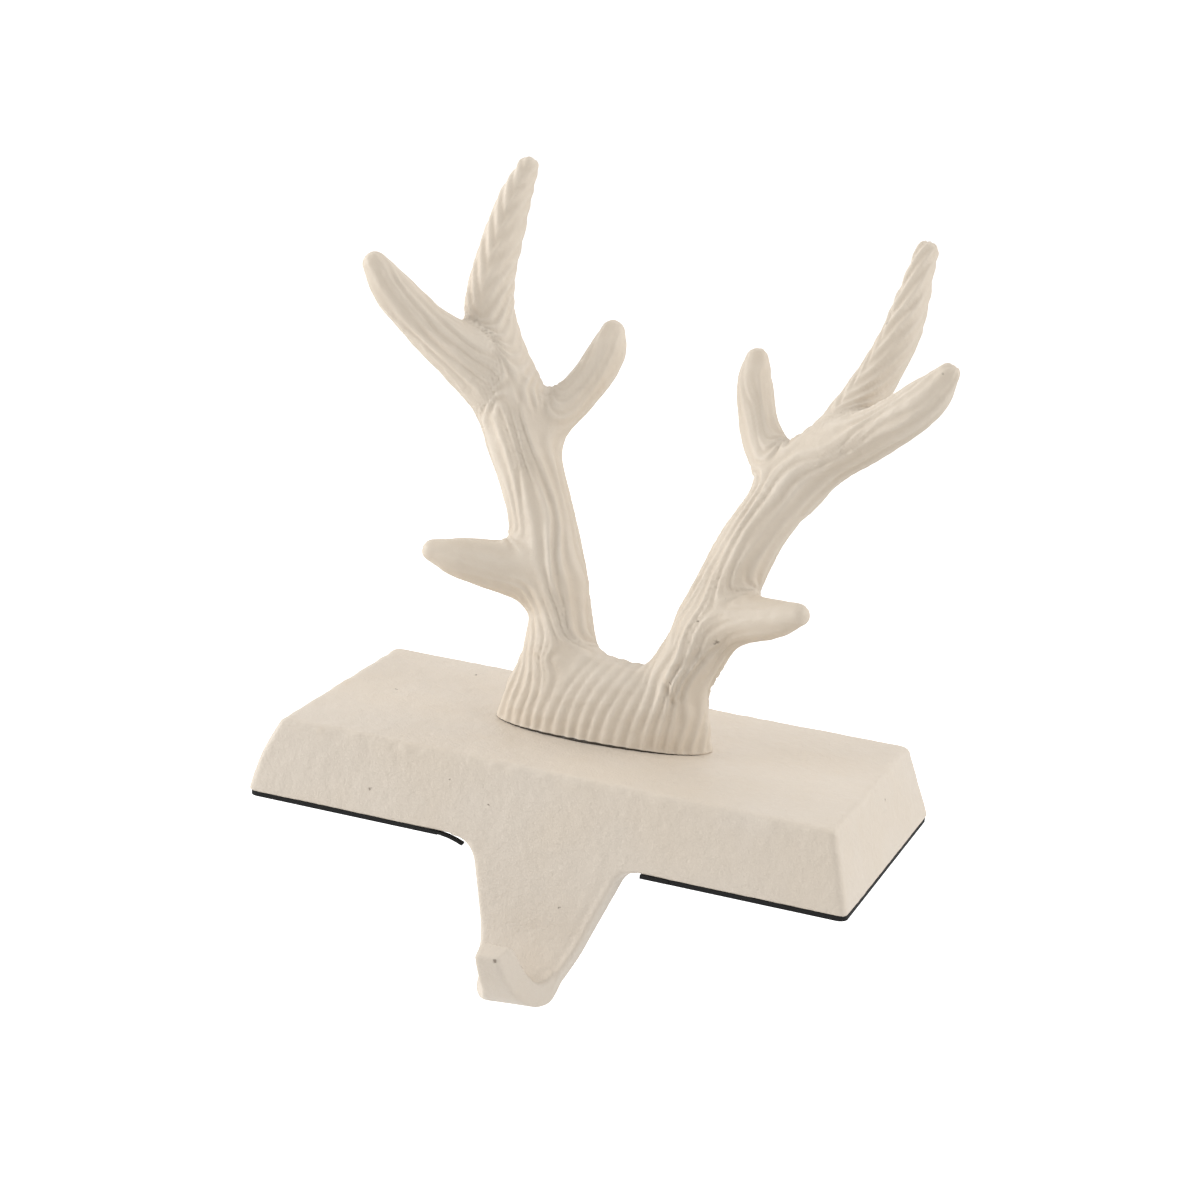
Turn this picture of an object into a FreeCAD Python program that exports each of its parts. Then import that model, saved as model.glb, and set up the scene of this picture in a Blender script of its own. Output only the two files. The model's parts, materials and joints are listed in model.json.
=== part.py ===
"""Mantel stocking holder: a weighted base casting with a hook in front and a pair of antlers on top.

Frame: millimetres, +Z up, the hook on the -Y side. The origin is the middle of the pad's underside, so
the plane z = 0 is the mantel shelf and the hook hangs below it.

Five pieces: the base casting (block, hook plate and curled hook in one), the antler casting, the two
screws that hold them together from below, their washers, and the pad glued under the base.
"""
import FreeCAD, Part
import Sketcher
import math
import os

V = FreeCAD.Vector
ACROSS = V(1, 0, 0)
UP = V(0, 0, 1)

# Turns about the X axis that set a sketch level, or level or upright with the hook, which follows the
# slope of the block's front.
LEVEL = "0 deg"
HOOK_LEAN = "atan( base_front_slope / base_height )"
ACROSS_HOOK = "-1 * " + HOOK_LEAN
FACING_HOOK = "90 deg - " + HOOK_LEAN

BASE_SIZES = {
    "base_length": 166.8,
    "base_depth": 85.0,
    "base_height": 20.5,
    "base_end_slope": 6.6,
    "base_front_slope": 4.9,
    "base_top_round": 1.4,
    "base_corner_round": 1.6,
    "pad_thickness": 1.2,
    "pad_inset": 0.4,
    "pad_corner_round": 2.5,
    "pad_notch_gap": 0.6,
}

HOOK_SIZES = {
    "hook_shift": 1.3,
    "hook_heel_shift": -2.0,
    "hook_root_width": 44.8,
    "hook_heel_width": 18.2,
    "hook_strap_width": 11.4,
    "hook_tip_width": 8.8,
    "hook_end_width": 5.2,
    "hook_thickness": 6.3,
    "hook_draft": 2.8,
    "hook_curl_setback": 0.4,
    "hook_centre_drop": 10.6,
    "hook_sole": 4.3,
    "hook_curl_radius": 21.8,
    "hook_curl_angle": 59.0,
    "hook_root_round": 8.5,
    "hook_heel_round": 6.0,
    "hook_trough_round": 3.6,
    "hook_root_lap": 3.0,
}

SCREW_SIZES = {
    "screw_diameter": 5.0,
    "screw_spacing": 34.0,
    "screw_grip": 12.0,
    "head_diameter": 9.0,
    "head_height": 3.4,
    "socket_flats": 4.0,
    "socket_depth": 2.0,
    "washer_diameter": 11.0,
    "washer_thickness": 1.0,
    "counterbore_diameter": 12.5,
    "counterbore_depth": 7.0,
    "screw_clearance": 0.5,
    "thread_clearance": 0.05,
    "blind_hole_extra": 2.0,
}

ANTLER_SIZES = {
    "antler_shift": 1.0,
    "foot_length": 61.0,
    "foot_width": 22.0,
    "foot_turn": 3.0,
    "shoulder_length": 55.0,
    "shoulder_width": 19.0,
    "shoulder_height": 11.0,
    "saddle_length": 38.0,
    "saddle_width": 11.0,
    "saddle_height": 19.8,
    "foot_flutes": 24,
    "beam_flutes": 8,
    "tine_flutes": 5,
    "foot_flute_depth": 0.9,
    "beam_flute_depth": 1.0,
    "tine_flute_depth": 0.7,
}

# Stations of each limb: x and y from the middle of the foot, z above the foot, and the ridge radius.
LIMBS = {
    "left_beam": {
        "root": (-15.0, 2.0, 6.0, 9.8),
        "shoulder": (-15.3, 3.0, 17.0, 10.3),
        "neck": (-17.0, 6.0, 28.5, 8.5),
        "brow": (-21.5, 9.0, 38.5, 9.3),
        "middle": (-31.9, 16.0, 62.0, 8.9),
        "fork": (-43.0, 22.5, 82.5, 9.2),
        "split": (-54.6, 32.5, 104.5, 6.9),
        "upper": (-56.7, 48.0, 127.5, 5.2),
        "tip": (-56.5, 59.5, 141.5, 3.1),
    },
    "left_crown": {
        "root": (-43.0, 21.5, 82.0, 8.6),
        "flare": (-54.0, 19.5, 91.0, 8.5),
        "middle": (-65.0, 17.0, 98.5, 6.3),
        "upper": (-75.5, 14.0, 108.0, 5.5),
        "tip": (-82.8, 11.5, 117.8, 3.3),
    },
    "left_inner": {
        "root": (-36.0, 18.5, 71.0, 7.6),
        "flare": (-29.9, 23.0, 79.0, 6.6),
        "middle": (-23.5, 30.5, 88.0, 5.6),
        "upper": (-20.5, 35.5, 95.5, 5.1),
        "tip": (-20.2, 40.0, 104.0, 3.3),
    },
    "left_brow": {
        "root": (-22.0, 9.0, 37.0, 7.6),
        "flare": (-31.0, 5.5, 39.0, 7.4),
        "middle": (-44.0, 0.5, 41.0, 5.7),
        "tip": (-54.8, -3.5, 43.2, 2.9),
    },
    "right_beam": {
        "root": (17.5, 2.0, 6.0, 9.0),
        "shoulder": (19.0, 2.5, 17.5, 8.8),
        "neck": (22.8, 5.5, 27.5, 8.7),
        "brow": (26.2, 8.5, 38.5, 8.6),
        "middle": (33.4, 13.0, 58.5, 8.0),
        "fork": (42.0, 18.5, 76.5, 8.3),
        "split": (52.5, 26.0, 90.8, 6.3),
        "upper": (59.4, 38.5, 109.3, 5.4),
        "tip": (60.3, 59.5, 134.0, 3.0),
    },
    "right_crown": {
        "root": (40.0, 18.5, 75.5, 7.4),
        "flare": (51.0, 17.5, 84.6, 8.0),
        "middle": (64.0, 15.0, 93.2, 6.5),
        "upper": (74.0, 13.0, 101.3, 5.8),
        "tip": (81.6, 11.5, 111.0, 3.2),
    },
    "right_inner": {
        "root": (38.5, 18.0, 72.5, 7.2),
        "flare": (31.3, 23.0, 79.5, 6.3),
        "middle": (25.8, 29.0, 86.0, 5.4),
        "upper": (22.5, 35.0, 94.0, 5.0),
        "tip": (20.9, 40.0, 102.4, 3.0),
    },
    "right_brow": {
        "root": (24.0, 7.0, 32.0, 7.0),
        "flare": (34.0, 4.0, 37.0, 6.5),
        "middle": (44.0, 0.5, 40.0, 5.1),
        "tip": (53.8, -3.5, 44.2, 2.9),
    },
}
STATION_VALUES = ("x", "y", "z", "radius")

# A limb's rounded tip: how far short of the end each closing ring stands, and its size, both as
# shares of the limb's last radius.
TIP_RINGS = ((0.9, 1.0), (0.3, 0.78), (0.0, 0.35))
FULL_FLUTE_RADIUS = 6.0


def make_sheet(document):
    """Write every driving size to the spreadsheet under its own alias."""
    sheet = document.addObject("Spreadsheet::Sheet", "Sizes")
    sizes = {**BASE_SIZES, **HOOK_SIZES, **SCREW_SIZES, **ANTLER_SIZES}
    for limb, stations in LIMBS.items():
        for station, values in stations.items():
            for axis, value in zip(STATION_VALUES, values):
                sizes["_".join((limb, station, axis))] = value
    for row, (alias, value) in enumerate(sizes.items(), start=1):
        sheet.set("A%d" % row, alias)
        sheet.set("B%d" % row, str(value))
        sheet.setAlias("B%d" % row, alias)
    document.recompute()
    return sheet


def bound(formula):
    """Return the formula with every size name pointed at the spreadsheet."""
    names = [*BASE_SIZES, *HOOK_SIZES, *SCREW_SIZES, *ANTLER_SIZES]
    words = formula.split(" ")
    return " ".join("Sizes." + word if word in names else word for word in words)


def outline(body, label, turn, offset, corners):
    """Draw a closed outline in a body, each corner held by two formulas in the sketch's own axes."""
    sketch = body.newObject("Sketcher::SketchObject", label)
    sketch.Placement = FreeCAD.Placement(V(0, 0, 0), FreeCAD.Rotation(ACROSS, 1))
    sketch.setExpression("Placement.Rotation.Angle", bound(turn))
    for axis, formula in offset.items():
        sketch.setExpression("Placement.Base." + axis, bound(formula))
    formulas = [[bound(formula) for formula in corner] for corner in corners]
    points = [V(*[float(sketch.evalExpression(formula)) for formula in corner], 0) for corner in formulas]
    for start, end in zip(points, points[1:] + points[:1]):
        sketch.addGeometry(Part.LineSegment(start, end), False)
    for index in range(len(points)):
        following = (index + 1) % len(points)
        sketch.addConstraint(Sketcher.Constraint("Coincident", index, 2, following, 1))
    for index, (point, corner) in enumerate(zip(points, formulas)):
        for kind, value, formula in (("DistanceX", point.x, corner[0]), ("DistanceY", point.y, corner[1])):
            number = sketch.addConstraint(Sketcher.Constraint(kind, -1, 1, index, 1, value))
            sketch.setExpression("Constraints[%d]" % number, formula)
    return sketch


def edge_names(shape, wanted):
    """Return the names of the edges whose middle passes the test."""
    names = []
    for index, edge in enumerate(shape.Edges, start=1):
        middle = edge.valueAt((edge.FirstParameter + edge.LastParameter) / 2)
        if wanted(edge, middle):
            names.append("Edge%d" % index)
    return names


def rounded(body, label, size, wanted):
    """Round the edges of a body that pass the test, by the named size."""
    body.Document.recompute()
    tip = body.Tip
    names = edge_names(tip.Shape, wanted)
    if not names:
        raise ValueError("no edge for " + label)
    fillet = body.newObject("PartDesign::Fillet", label)
    fillet.Base = (tip, names)
    fillet.setExpression("Radius", bound(size))
    return fillet


def loft(body, label, first, last):
    """Join two outlines of a body by a straight-sided solid."""
    feature = body.newObject("PartDesign::AdditiveLoft", label)
    feature.Profile = first
    feature.Sections = [last]
    feature.Ruled = True
    return feature


def add_block(body):
    """The weighted block: a wedge with all four sides sloping in towards the top."""
    half_length = "base_length / 2"
    half_depth = "base_depth / 2"
    top_half_length = "( base_length / 2 - base_end_slope )"
    top_half_depth = "( base_depth / 2 - base_front_slope )"
    block = body.newObject("PartDesign::AdditiveWedge", "block")
    block.Placement = FreeCAD.Placement(V(0, 0, 0), FreeCAD.Rotation(ACROSS, 90))
    block.setExpression("Placement.Base.z", bound("pad_thickness"))
    block.setExpression("Ymin", "0 mm")
    block.setExpression("Ymax", bound("base_height"))
    sides = (("X", half_length), ("Z", half_depth), ("X2", top_half_length), ("Z2", top_half_depth))
    for name, half in sides:
        block.setExpression(name + "min", bound("-1 * " + half))
        block.setExpression(name + "max", bound(half))


HOOK_DROP = "( hook_centre_drop + hook_curl_radius + hook_thickness )"
TROUGH_DROP = "( hook_centre_drop + hook_curl_radius )"
HOOK_TAPER = "( hook_root_width - hook_heel_width ) / 2 / " + HOOK_DROP
HEEL_MIDDLE = "( hook_shift + hook_heel_shift )"
TROUGH_MIDDLE = "( hook_shift + hook_heel_shift * %s / %s )" % (TROUGH_DROP, HOOK_DROP)
TROUGH_HALF = "hook_root_width / 2 - hook_draft - %s * %s" % (HOOK_TAPER, TROUGH_DROP)


def hook_place(ahead):
    """Return the formulas for a point ahead of the hook plate's face, level with the block's edge."""
    return {
        "y": "-1 * base_depth / 2 - %s * cos( %s )" % (ahead, HOOK_LEAN),
        "z": "pad_thickness + %s * sin( %s )" % (ahead, HOOK_LEAN),
    }


def hook_outline(body, label, ahead, narrowing):
    """One face of the hook plate: wide where it laps into the block, narrow and to one side at the heel."""
    lap_middle = "hook_shift - hook_heel_shift * hook_root_lap / " + HOOK_DROP
    lap_half = "hook_root_width / 2 + hook_root_lap * %s - %s" % (HOOK_TAPER, narrowing)
    heel_half = "hook_heel_width / 2 - " + narrowing
    heel = "-1 * " + HOOK_DROP
    corners = [
        ("%s - ( %s )" % (lap_middle, lap_half), "hook_root_lap"),
        ("%s - ( %s )" % (HEEL_MIDDLE, heel_half), heel),
        ("%s + ( %s )" % (HEEL_MIDDLE, heel_half), heel),
        ("%s + ( %s )" % (lap_middle, lap_half), "hook_root_lap"),
    ]
    return outline(body, label, FACING_HOOK, hook_place(ahead), corners)


def add_hook_plate(body):
    """The plate that carries the block's front face down, drafted narrower towards that face."""
    back = hook_outline(body, "plate_back", "( -1 * hook_thickness )", "0")
    front = hook_outline(body, "plate_front", "0", "hook_draft")
    loft(body, "plate", back, front)


def add_hook_curl(body):
    """The strap that leaves the plate's foot over a short sole and curls forward and up."""
    inner_half = TROUGH_HALF + " - hook_curl_setback"
    outer_half = "hook_heel_width / 2 - hook_draft - hook_curl_setback"
    inner = "-1 * hook_curl_radius"
    outer = "-1 * ( hook_curl_radius + hook_thickness )"
    corners = [
        ("%s - ( %s )" % (HEEL_MIDDLE, outer_half), outer),
        ("%s + ( %s )" % (HEEL_MIDDLE, outer_half), outer),
        ("%s + ( %s )" % (TROUGH_MIDDLE, inner_half), inner),
        ("%s - ( %s )" % (TROUGH_MIDDLE, inner_half), inner),
    ]
    place = hook_place("hook_sole")
    place["y"] += " - hook_centre_drop * sin( %s )" % HOOK_LEAN
    place["z"] += " - hook_centre_drop * cos( %s )" % HOOK_LEAN
    section = outline(body, "curl_section", FACING_HOOK, place, corners)
    sole = body.newObject("PartDesign::Pad", "sole")
    sole.Profile = section
    sole.Reversed = True
    sole.setExpression("Length", bound("hook_sole + hook_curl_setback"))
    curl = body.newObject("PartDesign::Revolution", "curl")
    curl.Profile = section
    curl.ReferenceAxis = (section, ["H_Axis"])
    curl.Reversed = True
    curl.setExpression("Angle", bound("hook_curl_angle"))


def trim_hook_curl(body):
    """Narrow the curl, seen along the plate, to a strap that is nipped in at its tip."""
    near_plate = "-1 * hook_sole / 4"
    strap = "-2 * hook_sole"
    tip = "-1 * ( hook_sole + hook_curl_radius * sin( hook_curl_angle * 1 deg ) )"
    end = "-1 * ( hook_sole + ( hook_curl_radius + hook_thickness ) * sin( hook_curl_angle * 1 deg ) )"
    beyond = end + " - hook_thickness"
    for label, side in (("left_trim", "-1"), ("right_trim", "1")):
        corners = [
            ("%s + %s * ( %s - hook_curl_setback )" % (TROUGH_MIDDLE, side, TROUGH_HALF), near_plate),
            ("hook_shift + %s * hook_strap_width / 2" % side, strap),
            ("hook_shift + %s * hook_tip_width / 2" % side, tip),
            ("hook_shift + %s * hook_end_width / 2" % side, end),
            ("hook_shift + %s * hook_end_width / 2" % side, beyond),
            ("hook_shift + %s * hook_root_width" % side, beyond),
            ("hook_shift + %s * hook_root_width" % side, near_plate),
        ]
        sketch = outline(body, label + "_outline", ACROSS_HOOK, hook_place("0"), corners)
        pocket = body.newObject("PartDesign::Pocket", label)
        pocket.Profile = sketch
        pocket.Type = 1


def hook_point(sheet, ahead, down):
    """Return the y and z of a point given in the hook's own leaning frame."""
    lean = math.atan(sheet.base_front_slope / sheet.base_height)
    y = -sheet.base_depth / 2 - ahead * math.cos(lean) - down * math.sin(lean)
    z = sheet.pad_thickness + ahead * math.sin(lean) - down * math.cos(lean)
    return y, z


def screw_places(sheet):
    """Return the x of each screw."""
    return [sheet.antler_shift + side * sheet.screw_spacing / 2 for side in (-1, 1)]


def add_screw_holes(body):
    """The two holes up through the block, each with a counterbore for washer and head."""
    bores = (
        ("screw_hole", "screw_diameter / 2 + screw_clearance / 2", "base_height"),
        ("counterbore", "counterbore_diameter / 2", "counterbore_depth"),
    )
    for label, radius, depth in bores:
        sketch = body.newObject("Sketcher::SketchObject", label + "_circles")
        sketch.setExpression("Placement.Base.x", bound("antler_shift"))
        sketch.setExpression("Placement.Base.z", bound("pad_thickness"))
        for side in (-1, 1):
            circle = sketch.addGeometry(Part.Circle(V(side, 0, 0), UP, 1), False)
            sketch.addConstraint(Sketcher.Constraint("PointOnObject", circle, 3, -1))
            place = sketch.addConstraint(Sketcher.Constraint("DistanceX", -1, 1, circle, 3, side))
            size = sketch.addConstraint(Sketcher.Constraint("Radius", circle, 1))
            sketch.setExpression("Constraints[%d]" % place, bound("%d * screw_spacing / 2" % side))
            sketch.setExpression("Constraints[%d]" % size, bound(radius))
        pocket = body.newObject("PartDesign::Pocket", label)
        pocket.Profile = sketch
        pocket.Reversed = True
        pocket.setExpression("Length", bound(depth))


def build_base_casting(document, sheet):
    """Block, hook plate and curl, cast in one piece."""
    body = document.addObject("PartDesign::Body", "base_casting")
    add_block(body)
    add_hook_plate(body)
    add_hook_curl(body)
    underside = sheet.pad_thickness
    top = underside + sheet.base_height
    front = -sheet.base_depth / 2
    trough_drop = sheet.hook_centre_drop + sheet.hook_curl_radius
    heel = hook_point(sheet, -sheet.hook_thickness, trough_drop + sheet.hook_thickness)
    trough = hook_point(sheet, 0, trough_drop)
    near = 0.01

    def passes(middle, point):
        return math.hypot(middle.y - point[0], middle.z - point[1]) < near

    def at_root(edge, middle):
        under_plate = front + near < middle.y < front + sheet.hook_thickness
        return abs(middle.z - underside) < near and under_plate

    def at_heel(edge, middle):
        return passes(middle, heel)

    def at_trough(edge, middle):
        return passes(middle, trough)

    def at_block_corner(edge, middle):
        half_way = underside < middle.z < top
        return half_way and abs(middle.x) > sheet.base_length / 2 - sheet.base_end_slope

    def at_block_top(edge, middle):
        return abs(middle.z - top) < near

    rounded(body, "trough_round", "hook_trough_round", at_trough)
    trim_hook_curl(body)
    rounded(body, "root_round", "hook_root_round", at_root)
    rounded(body, "heel_round", "hook_heel_round", at_heel)
    rounded(body, "corner_round", "base_corner_round", at_block_corner)
    rounded(body, "top_round", "base_top_round", at_block_top)
    add_screw_holes(body)
    return body


def ring(centre, radius, flutes, depth, first_axis, second_axis):
    """Return a closed ring of points, in turn on a ridge and in the groove beside it."""
    points = []
    for index in range(2 * flutes):
        angle = math.pi * index / flutes
        reach = radius - depth * (index % 2)
        outwards = first_axis * math.cos(angle) + second_axis * math.sin(angle)
        points.append(centre + outwards * reach)
    return points


def fluted_solid(rings):
    """Join rings by ruled strips between curves that run along each ridge and groove."""
    curves = []
    for index in range(len(rings[0])):
        curve = Part.BSplineCurve()
        curve.interpolate([points[index] for points in rings])
        curves.append(curve.toShape())
    faces = [Part.makeRuledSurface(curve, beside) for curve, beside in zip(curves, curves[1:] + curves[:1])]
    for points in (rings[0], rings[-1]):
        faces.append(Part.Face(Part.makePolygon(points + points[:1])))
    solid = Part.Solid(Part.Shell(faces))
    if solid.Volume < 0:
        solid.reverse()
    return solid


def cross_axes(centres):
    """Return two axes across the limb at each centre, carried along so that they don't twist."""
    axes = []
    across = V(0, 1, 0)
    for index in range(len(centres)):
        along = centres[min(index + 1, len(centres) - 1)] - centres[max(index - 1, 0)]
        along.normalize()
        across = across - along * across.dot(along)
        across.normalize()
        axes.append((across, along.cross(across)))
    return axes


def limb_stations(sheet, limb):
    """Return a limb's centres and radii, with the last station opened out into a rounded tip."""
    names = ["_".join((limb, station)) for station in LIMBS[limb]]
    stations = [[getattr(sheet, name + "_" + value) for value in STATION_VALUES] for name in names]
    centres = [V(x, y, z) for x, y, z, radius in stations]
    radii = [radius for x, y, z, radius in stations]
    end = centres.pop()
    last_radius = radii.pop()
    along = end - centres[-1]
    along.normalize()
    for share_back, share_radius in TIP_RINGS:
        centres.append(end - along * (share_back * last_radius))
        radii.append(share_radius * last_radius)
    return centres, radii


def build_limb(sheet, limb):
    """One beam or tine, fluted along its length, its flutes dying out towards a thin tip."""
    kind = "beam" if limb.endswith("beam") else "tine"
    flutes = int(getattr(sheet, kind + "_flutes"))
    depth = getattr(sheet, kind + "_flute_depth")
    centres, radii = limb_stations(sheet, limb)
    rings = []
    for centre, radius, (first, second) in zip(centres, radii, cross_axes(centres)):
        share = min(1.0, radius / FULL_FLUTE_RADIUS)
        rings.append(ring(centre, radius, flutes, depth * share, first, second))
    return fluted_solid(rings)


def oval_ring(length, width, height, turn, flutes, depth):
    """Return a fluted oval ring in a level plane, its grooves cut square to the oval."""
    points = []
    for index in range(2 * int(flutes)):
        angle = math.pi * index / flutes
        rim = V(length / 2 * math.cos(angle), width / 2 * math.sin(angle), 0)
        inward = V(-math.cos(angle) / length, -math.sin(angle) / width, 0)
        inward.normalize()
        points.append(rim + inward * (depth * (index % 2)) + UP * height)
    turning = FreeCAD.Rotation(UP, turn)
    return [turning.multVec(point) for point in points]


def build_saddle(sheet):
    """The fluted foot that both beams grow from."""
    levels = (
        (sheet.foot_length, sheet.foot_width, 0),
        (sheet.shoulder_length, sheet.shoulder_width, sheet.shoulder_height),
        (sheet.saddle_length, sheet.saddle_width, sheet.saddle_height),
    )
    rings = [oval_ring(length, width, height, sheet.foot_turn, sheet.foot_flutes, sheet.foot_flute_depth)
             for length, width, height in levels]
    return fluted_solid(rings)


def build_antler_casting(document, sheet):
    """Foot, beams and tines in one casting, with a blind tapped hole for each screw."""
    casting = build_saddle(sheet).fuse([build_limb(sheet, limb) for limb in LIMBS])
    radius = (sheet.screw_diameter + sheet.thread_clearance) / 2
    depth = sheet.screw_grip + sheet.blind_hole_extra
    for x in screw_places(sheet):
        hole = Part.makeCylinder(radius, depth, V(x - sheet.antler_shift, 0, 0), UP)
        casting = casting.cut(hole)
    feature = document.addObject("Part::Feature", "antler_casting")
    feature.Shape = casting
    feature.setExpression("Placement.Base.x", bound("antler_shift"))
    feature.setExpression("Placement.Base.z", bound("pad_thickness + base_height"))
    return feature


def add_cylinder(document, label, radius, height, x, z):
    """A cylinder standing at x and z, all four held by formulas."""
    cylinder = document.addObject("Part::Cylinder", label)
    cylinder.setExpression("Radius", bound(radius))
    cylinder.setExpression("Height", bound(height))
    cylinder.setExpression("Placement.Base.x", bound(x))
    cylinder.setExpression("Placement.Base.z", bound(z))
    return cylinder


def screw_x(side):
    """Return the formula for a screw's x on one side."""
    return "antler_shift + %d * screw_spacing / 2" % side


WASHER_BOTTOM = "pad_thickness + counterbore_depth - washer_thickness"


def build_antler_screws(document):
    """Two socket-head screws, each a shank and a head with a hexagon socket from below."""
    screws = []
    for name, side in (("left", -1), ("right", 1)):
        x = screw_x(side)
        length = "base_height - counterbore_depth + washer_thickness + screw_grip"
        head_bottom = WASHER_BOTTOM + " - head_height"
        shank = add_cylinder(document, name + "_shank", "screw_diameter / 2", length, x, WASHER_BOTTOM)
        head = add_cylinder(document, name + "_head", "head_diameter / 2", "head_height", x, head_bottom)
        whole = document.addObject("Part::MultiFuse", name + "_blank")
        whole.Shapes = [shank, head]
        socket = document.addObject("Part::Prism", name + "_socket")
        socket.Polygon = 6
        socket.setExpression("Circumradius", bound("socket_flats / 2 / cos(30)"))
        socket.setExpression("Height", bound("socket_depth"))
        socket.setExpression("Placement.Base.x", bound(x))
        socket.setExpression("Placement.Base.z", bound(head_bottom))
        screw = document.addObject("Part::Cut", name + "_screw")
        screw.Base = whole
        screw.Tool = socket
        screws.append(screw)
    pair = document.addObject("Part::Compound", "antler_screws")
    pair.Links = screws
    return pair


def build_screw_washers(document):
    """Two plain washers between the screw heads and the block."""
    washers = []
    outer = "washer_diameter / 2"
    inner = "screw_diameter / 2 + screw_clearance / 4"
    for name, side in (("left", -1), ("right", 1)):
        x = screw_x(side)
        disc = add_cylinder(document, name + "_disc", outer, "washer_thickness", x, WASHER_BOTTOM)
        hole = add_cylinder(document, name + "_bore", inner, "washer_thickness", x, WASHER_BOTTOM)
        washer = document.addObject("Part::Cut", name + "_washer")
        washer.Base = disc
        washer.Tool = hole
        washers.append(washer)
    pair = document.addObject("Part::Compound", "screw_washers")
    pair.Links = washers
    return pair


def build_base_pad(document, sheet):
    """The thin pad under the block, notched at the front where the hook plate comes down."""
    body = document.addObject("PartDesign::Body", "base_pad")
    right = "base_length / 2 - pad_inset"
    far = "base_depth / 2 - pad_inset"
    near_edge = "-1 * ( base_depth / 2 - pad_inset )"
    notch_half = "hook_root_width / 2 + 3 / 4 * hook_root_round + pad_notch_gap"
    notch_end = "hook_thickness / cos( %s ) - base_depth / 2 + pad_notch_gap" % HOOK_LEAN
    corners = [
        ("-1 * ( %s )" % right, near_edge),
        ("hook_shift - ( %s )" % notch_half, near_edge),
        ("hook_shift - ( %s )" % notch_half, notch_end),
        ("hook_shift + ( %s )" % notch_half, notch_end),
        ("hook_shift + ( %s )" % notch_half, near_edge),
        (right, near_edge),
        (right, far),
        ("-1 * ( %s )" % right, far),
    ]
    sketch = outline(body, "pad_outline", LEVEL, {}, corners)
    sheet_of_felt = body.newObject("PartDesign::Pad", "felt")
    sheet_of_felt.Profile = sketch
    sheet_of_felt.setExpression("Length", bound("pad_thickness"))

    def at_corner(edge, middle):
        upright = abs(middle.z - sheet.pad_thickness / 2) < sheet.pad_thickness / 4
        return upright and abs(middle.x) > sheet.base_length / 2 - 2 * sheet.pad_inset

    rounded(body, "felt_corners", "pad_corner_round", at_corner)
    return body


def check(piece):
    """Stop the build where a piece has failed."""
    if "Invalid" in piece.State or "Error" in piece.State:
        raise ValueError(piece.Label + " has an error")
    if piece.Shape.isNull() or not piece.Shape.isValid():
        raise ValueError(piece.Label + " has no valid shape")


def main():
    """Build the five pieces and write one STEP file for each."""
    document = FreeCAD.newDocument("mantel_stocking_holder")
    sheet = make_sheet(document)
    pieces = [
        build_base_casting(document, sheet),
        build_antler_casting(document, sheet),
        build_antler_screws(document),
        build_screw_washers(document),
        build_base_pad(document, sheet),
    ]
    document.recompute()
    for item in document.Objects:
        if "Invalid" in item.State or "Error" in item.State:
            raise ValueError(item.Label + " has an error")
    os.makedirs("parts", exist_ok=True)
    for piece in pieces:
        check(piece)
        piece.Shape.exportStep("parts/%s.step" % piece.Label)
        box = piece.Shape.BoundBox
        print("%s: %d solids, volume %.0f mm3, z %.1f to %.1f" % (
            piece.Label, len(piece.Shape.Solids), piece.Shape.Volume, box.ZMin, box.ZMax))


main()
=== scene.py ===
"""Looks of a mantel stocking holder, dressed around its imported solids.

The base casting and the antler casting are worked out again as distance fields, so that their edges
are soft and their carving is cut into the surface. Sizes are in millimetres inside the classes and
become metres when a mesh is made. Z is up and the hook hangs on the -Y side.
"""

import json
import logging
import math
from dataclasses import dataclass, field
from enum import Enum

import bpy
import numpy as np
from mathutils import Matrix

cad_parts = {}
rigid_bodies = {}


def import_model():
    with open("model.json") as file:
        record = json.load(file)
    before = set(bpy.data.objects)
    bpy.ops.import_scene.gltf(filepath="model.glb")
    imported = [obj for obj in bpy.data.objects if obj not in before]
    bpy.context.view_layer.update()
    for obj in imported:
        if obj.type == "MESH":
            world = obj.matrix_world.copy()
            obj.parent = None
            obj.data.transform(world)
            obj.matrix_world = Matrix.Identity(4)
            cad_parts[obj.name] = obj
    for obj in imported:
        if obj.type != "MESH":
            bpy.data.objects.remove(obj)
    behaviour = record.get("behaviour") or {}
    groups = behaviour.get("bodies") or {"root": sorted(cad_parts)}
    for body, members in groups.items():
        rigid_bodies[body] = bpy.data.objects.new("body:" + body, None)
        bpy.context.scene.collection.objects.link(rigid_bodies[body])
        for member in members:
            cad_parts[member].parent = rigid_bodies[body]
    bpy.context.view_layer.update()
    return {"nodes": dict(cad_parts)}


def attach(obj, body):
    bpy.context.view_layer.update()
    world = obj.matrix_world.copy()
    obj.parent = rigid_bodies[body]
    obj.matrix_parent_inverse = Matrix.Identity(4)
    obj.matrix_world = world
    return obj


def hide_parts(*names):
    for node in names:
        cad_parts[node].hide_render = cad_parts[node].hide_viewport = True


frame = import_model()

LOG = logging.getLogger("stocking_holder")
MM = 0.001
FAR = 1e3
BODY = "root"
Array = np.ndarray
Material = bpy.types.Material
Socket = bpy.types.NodeSocket
Place = tuple[float, float, float]
Colour = tuple[float, float, float, float]


class Slot(Enum):
    """The record's material slots."""

    CASTING = "casting"
    FASTENER = "fastener"
    PAD = "pad"


class Side(Enum):
    """Which side of its beam a tine leaves from, seen from the front."""

    LEFT = -1
    RIGHT = 1
    NONE = 0


# Arithmetic on whole arrays


def smooth_share(values: Array, low: float, high: float) -> Array:
    """Rise smoothly from 0 at low to 1 at high: 3t^2 - 2t^3 of the clipped share t.

    Args:
        values: Any array.
        low: Value at which the share leaves 0.
        high: Value at which the share reaches 1.

    Returns:
        An array of shares with the same shape.
    """
    share = np.clip((values - low) / (high - low), 0.0, 1.0)
    return share * share * (3.0 - 2.0 * share)


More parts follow.
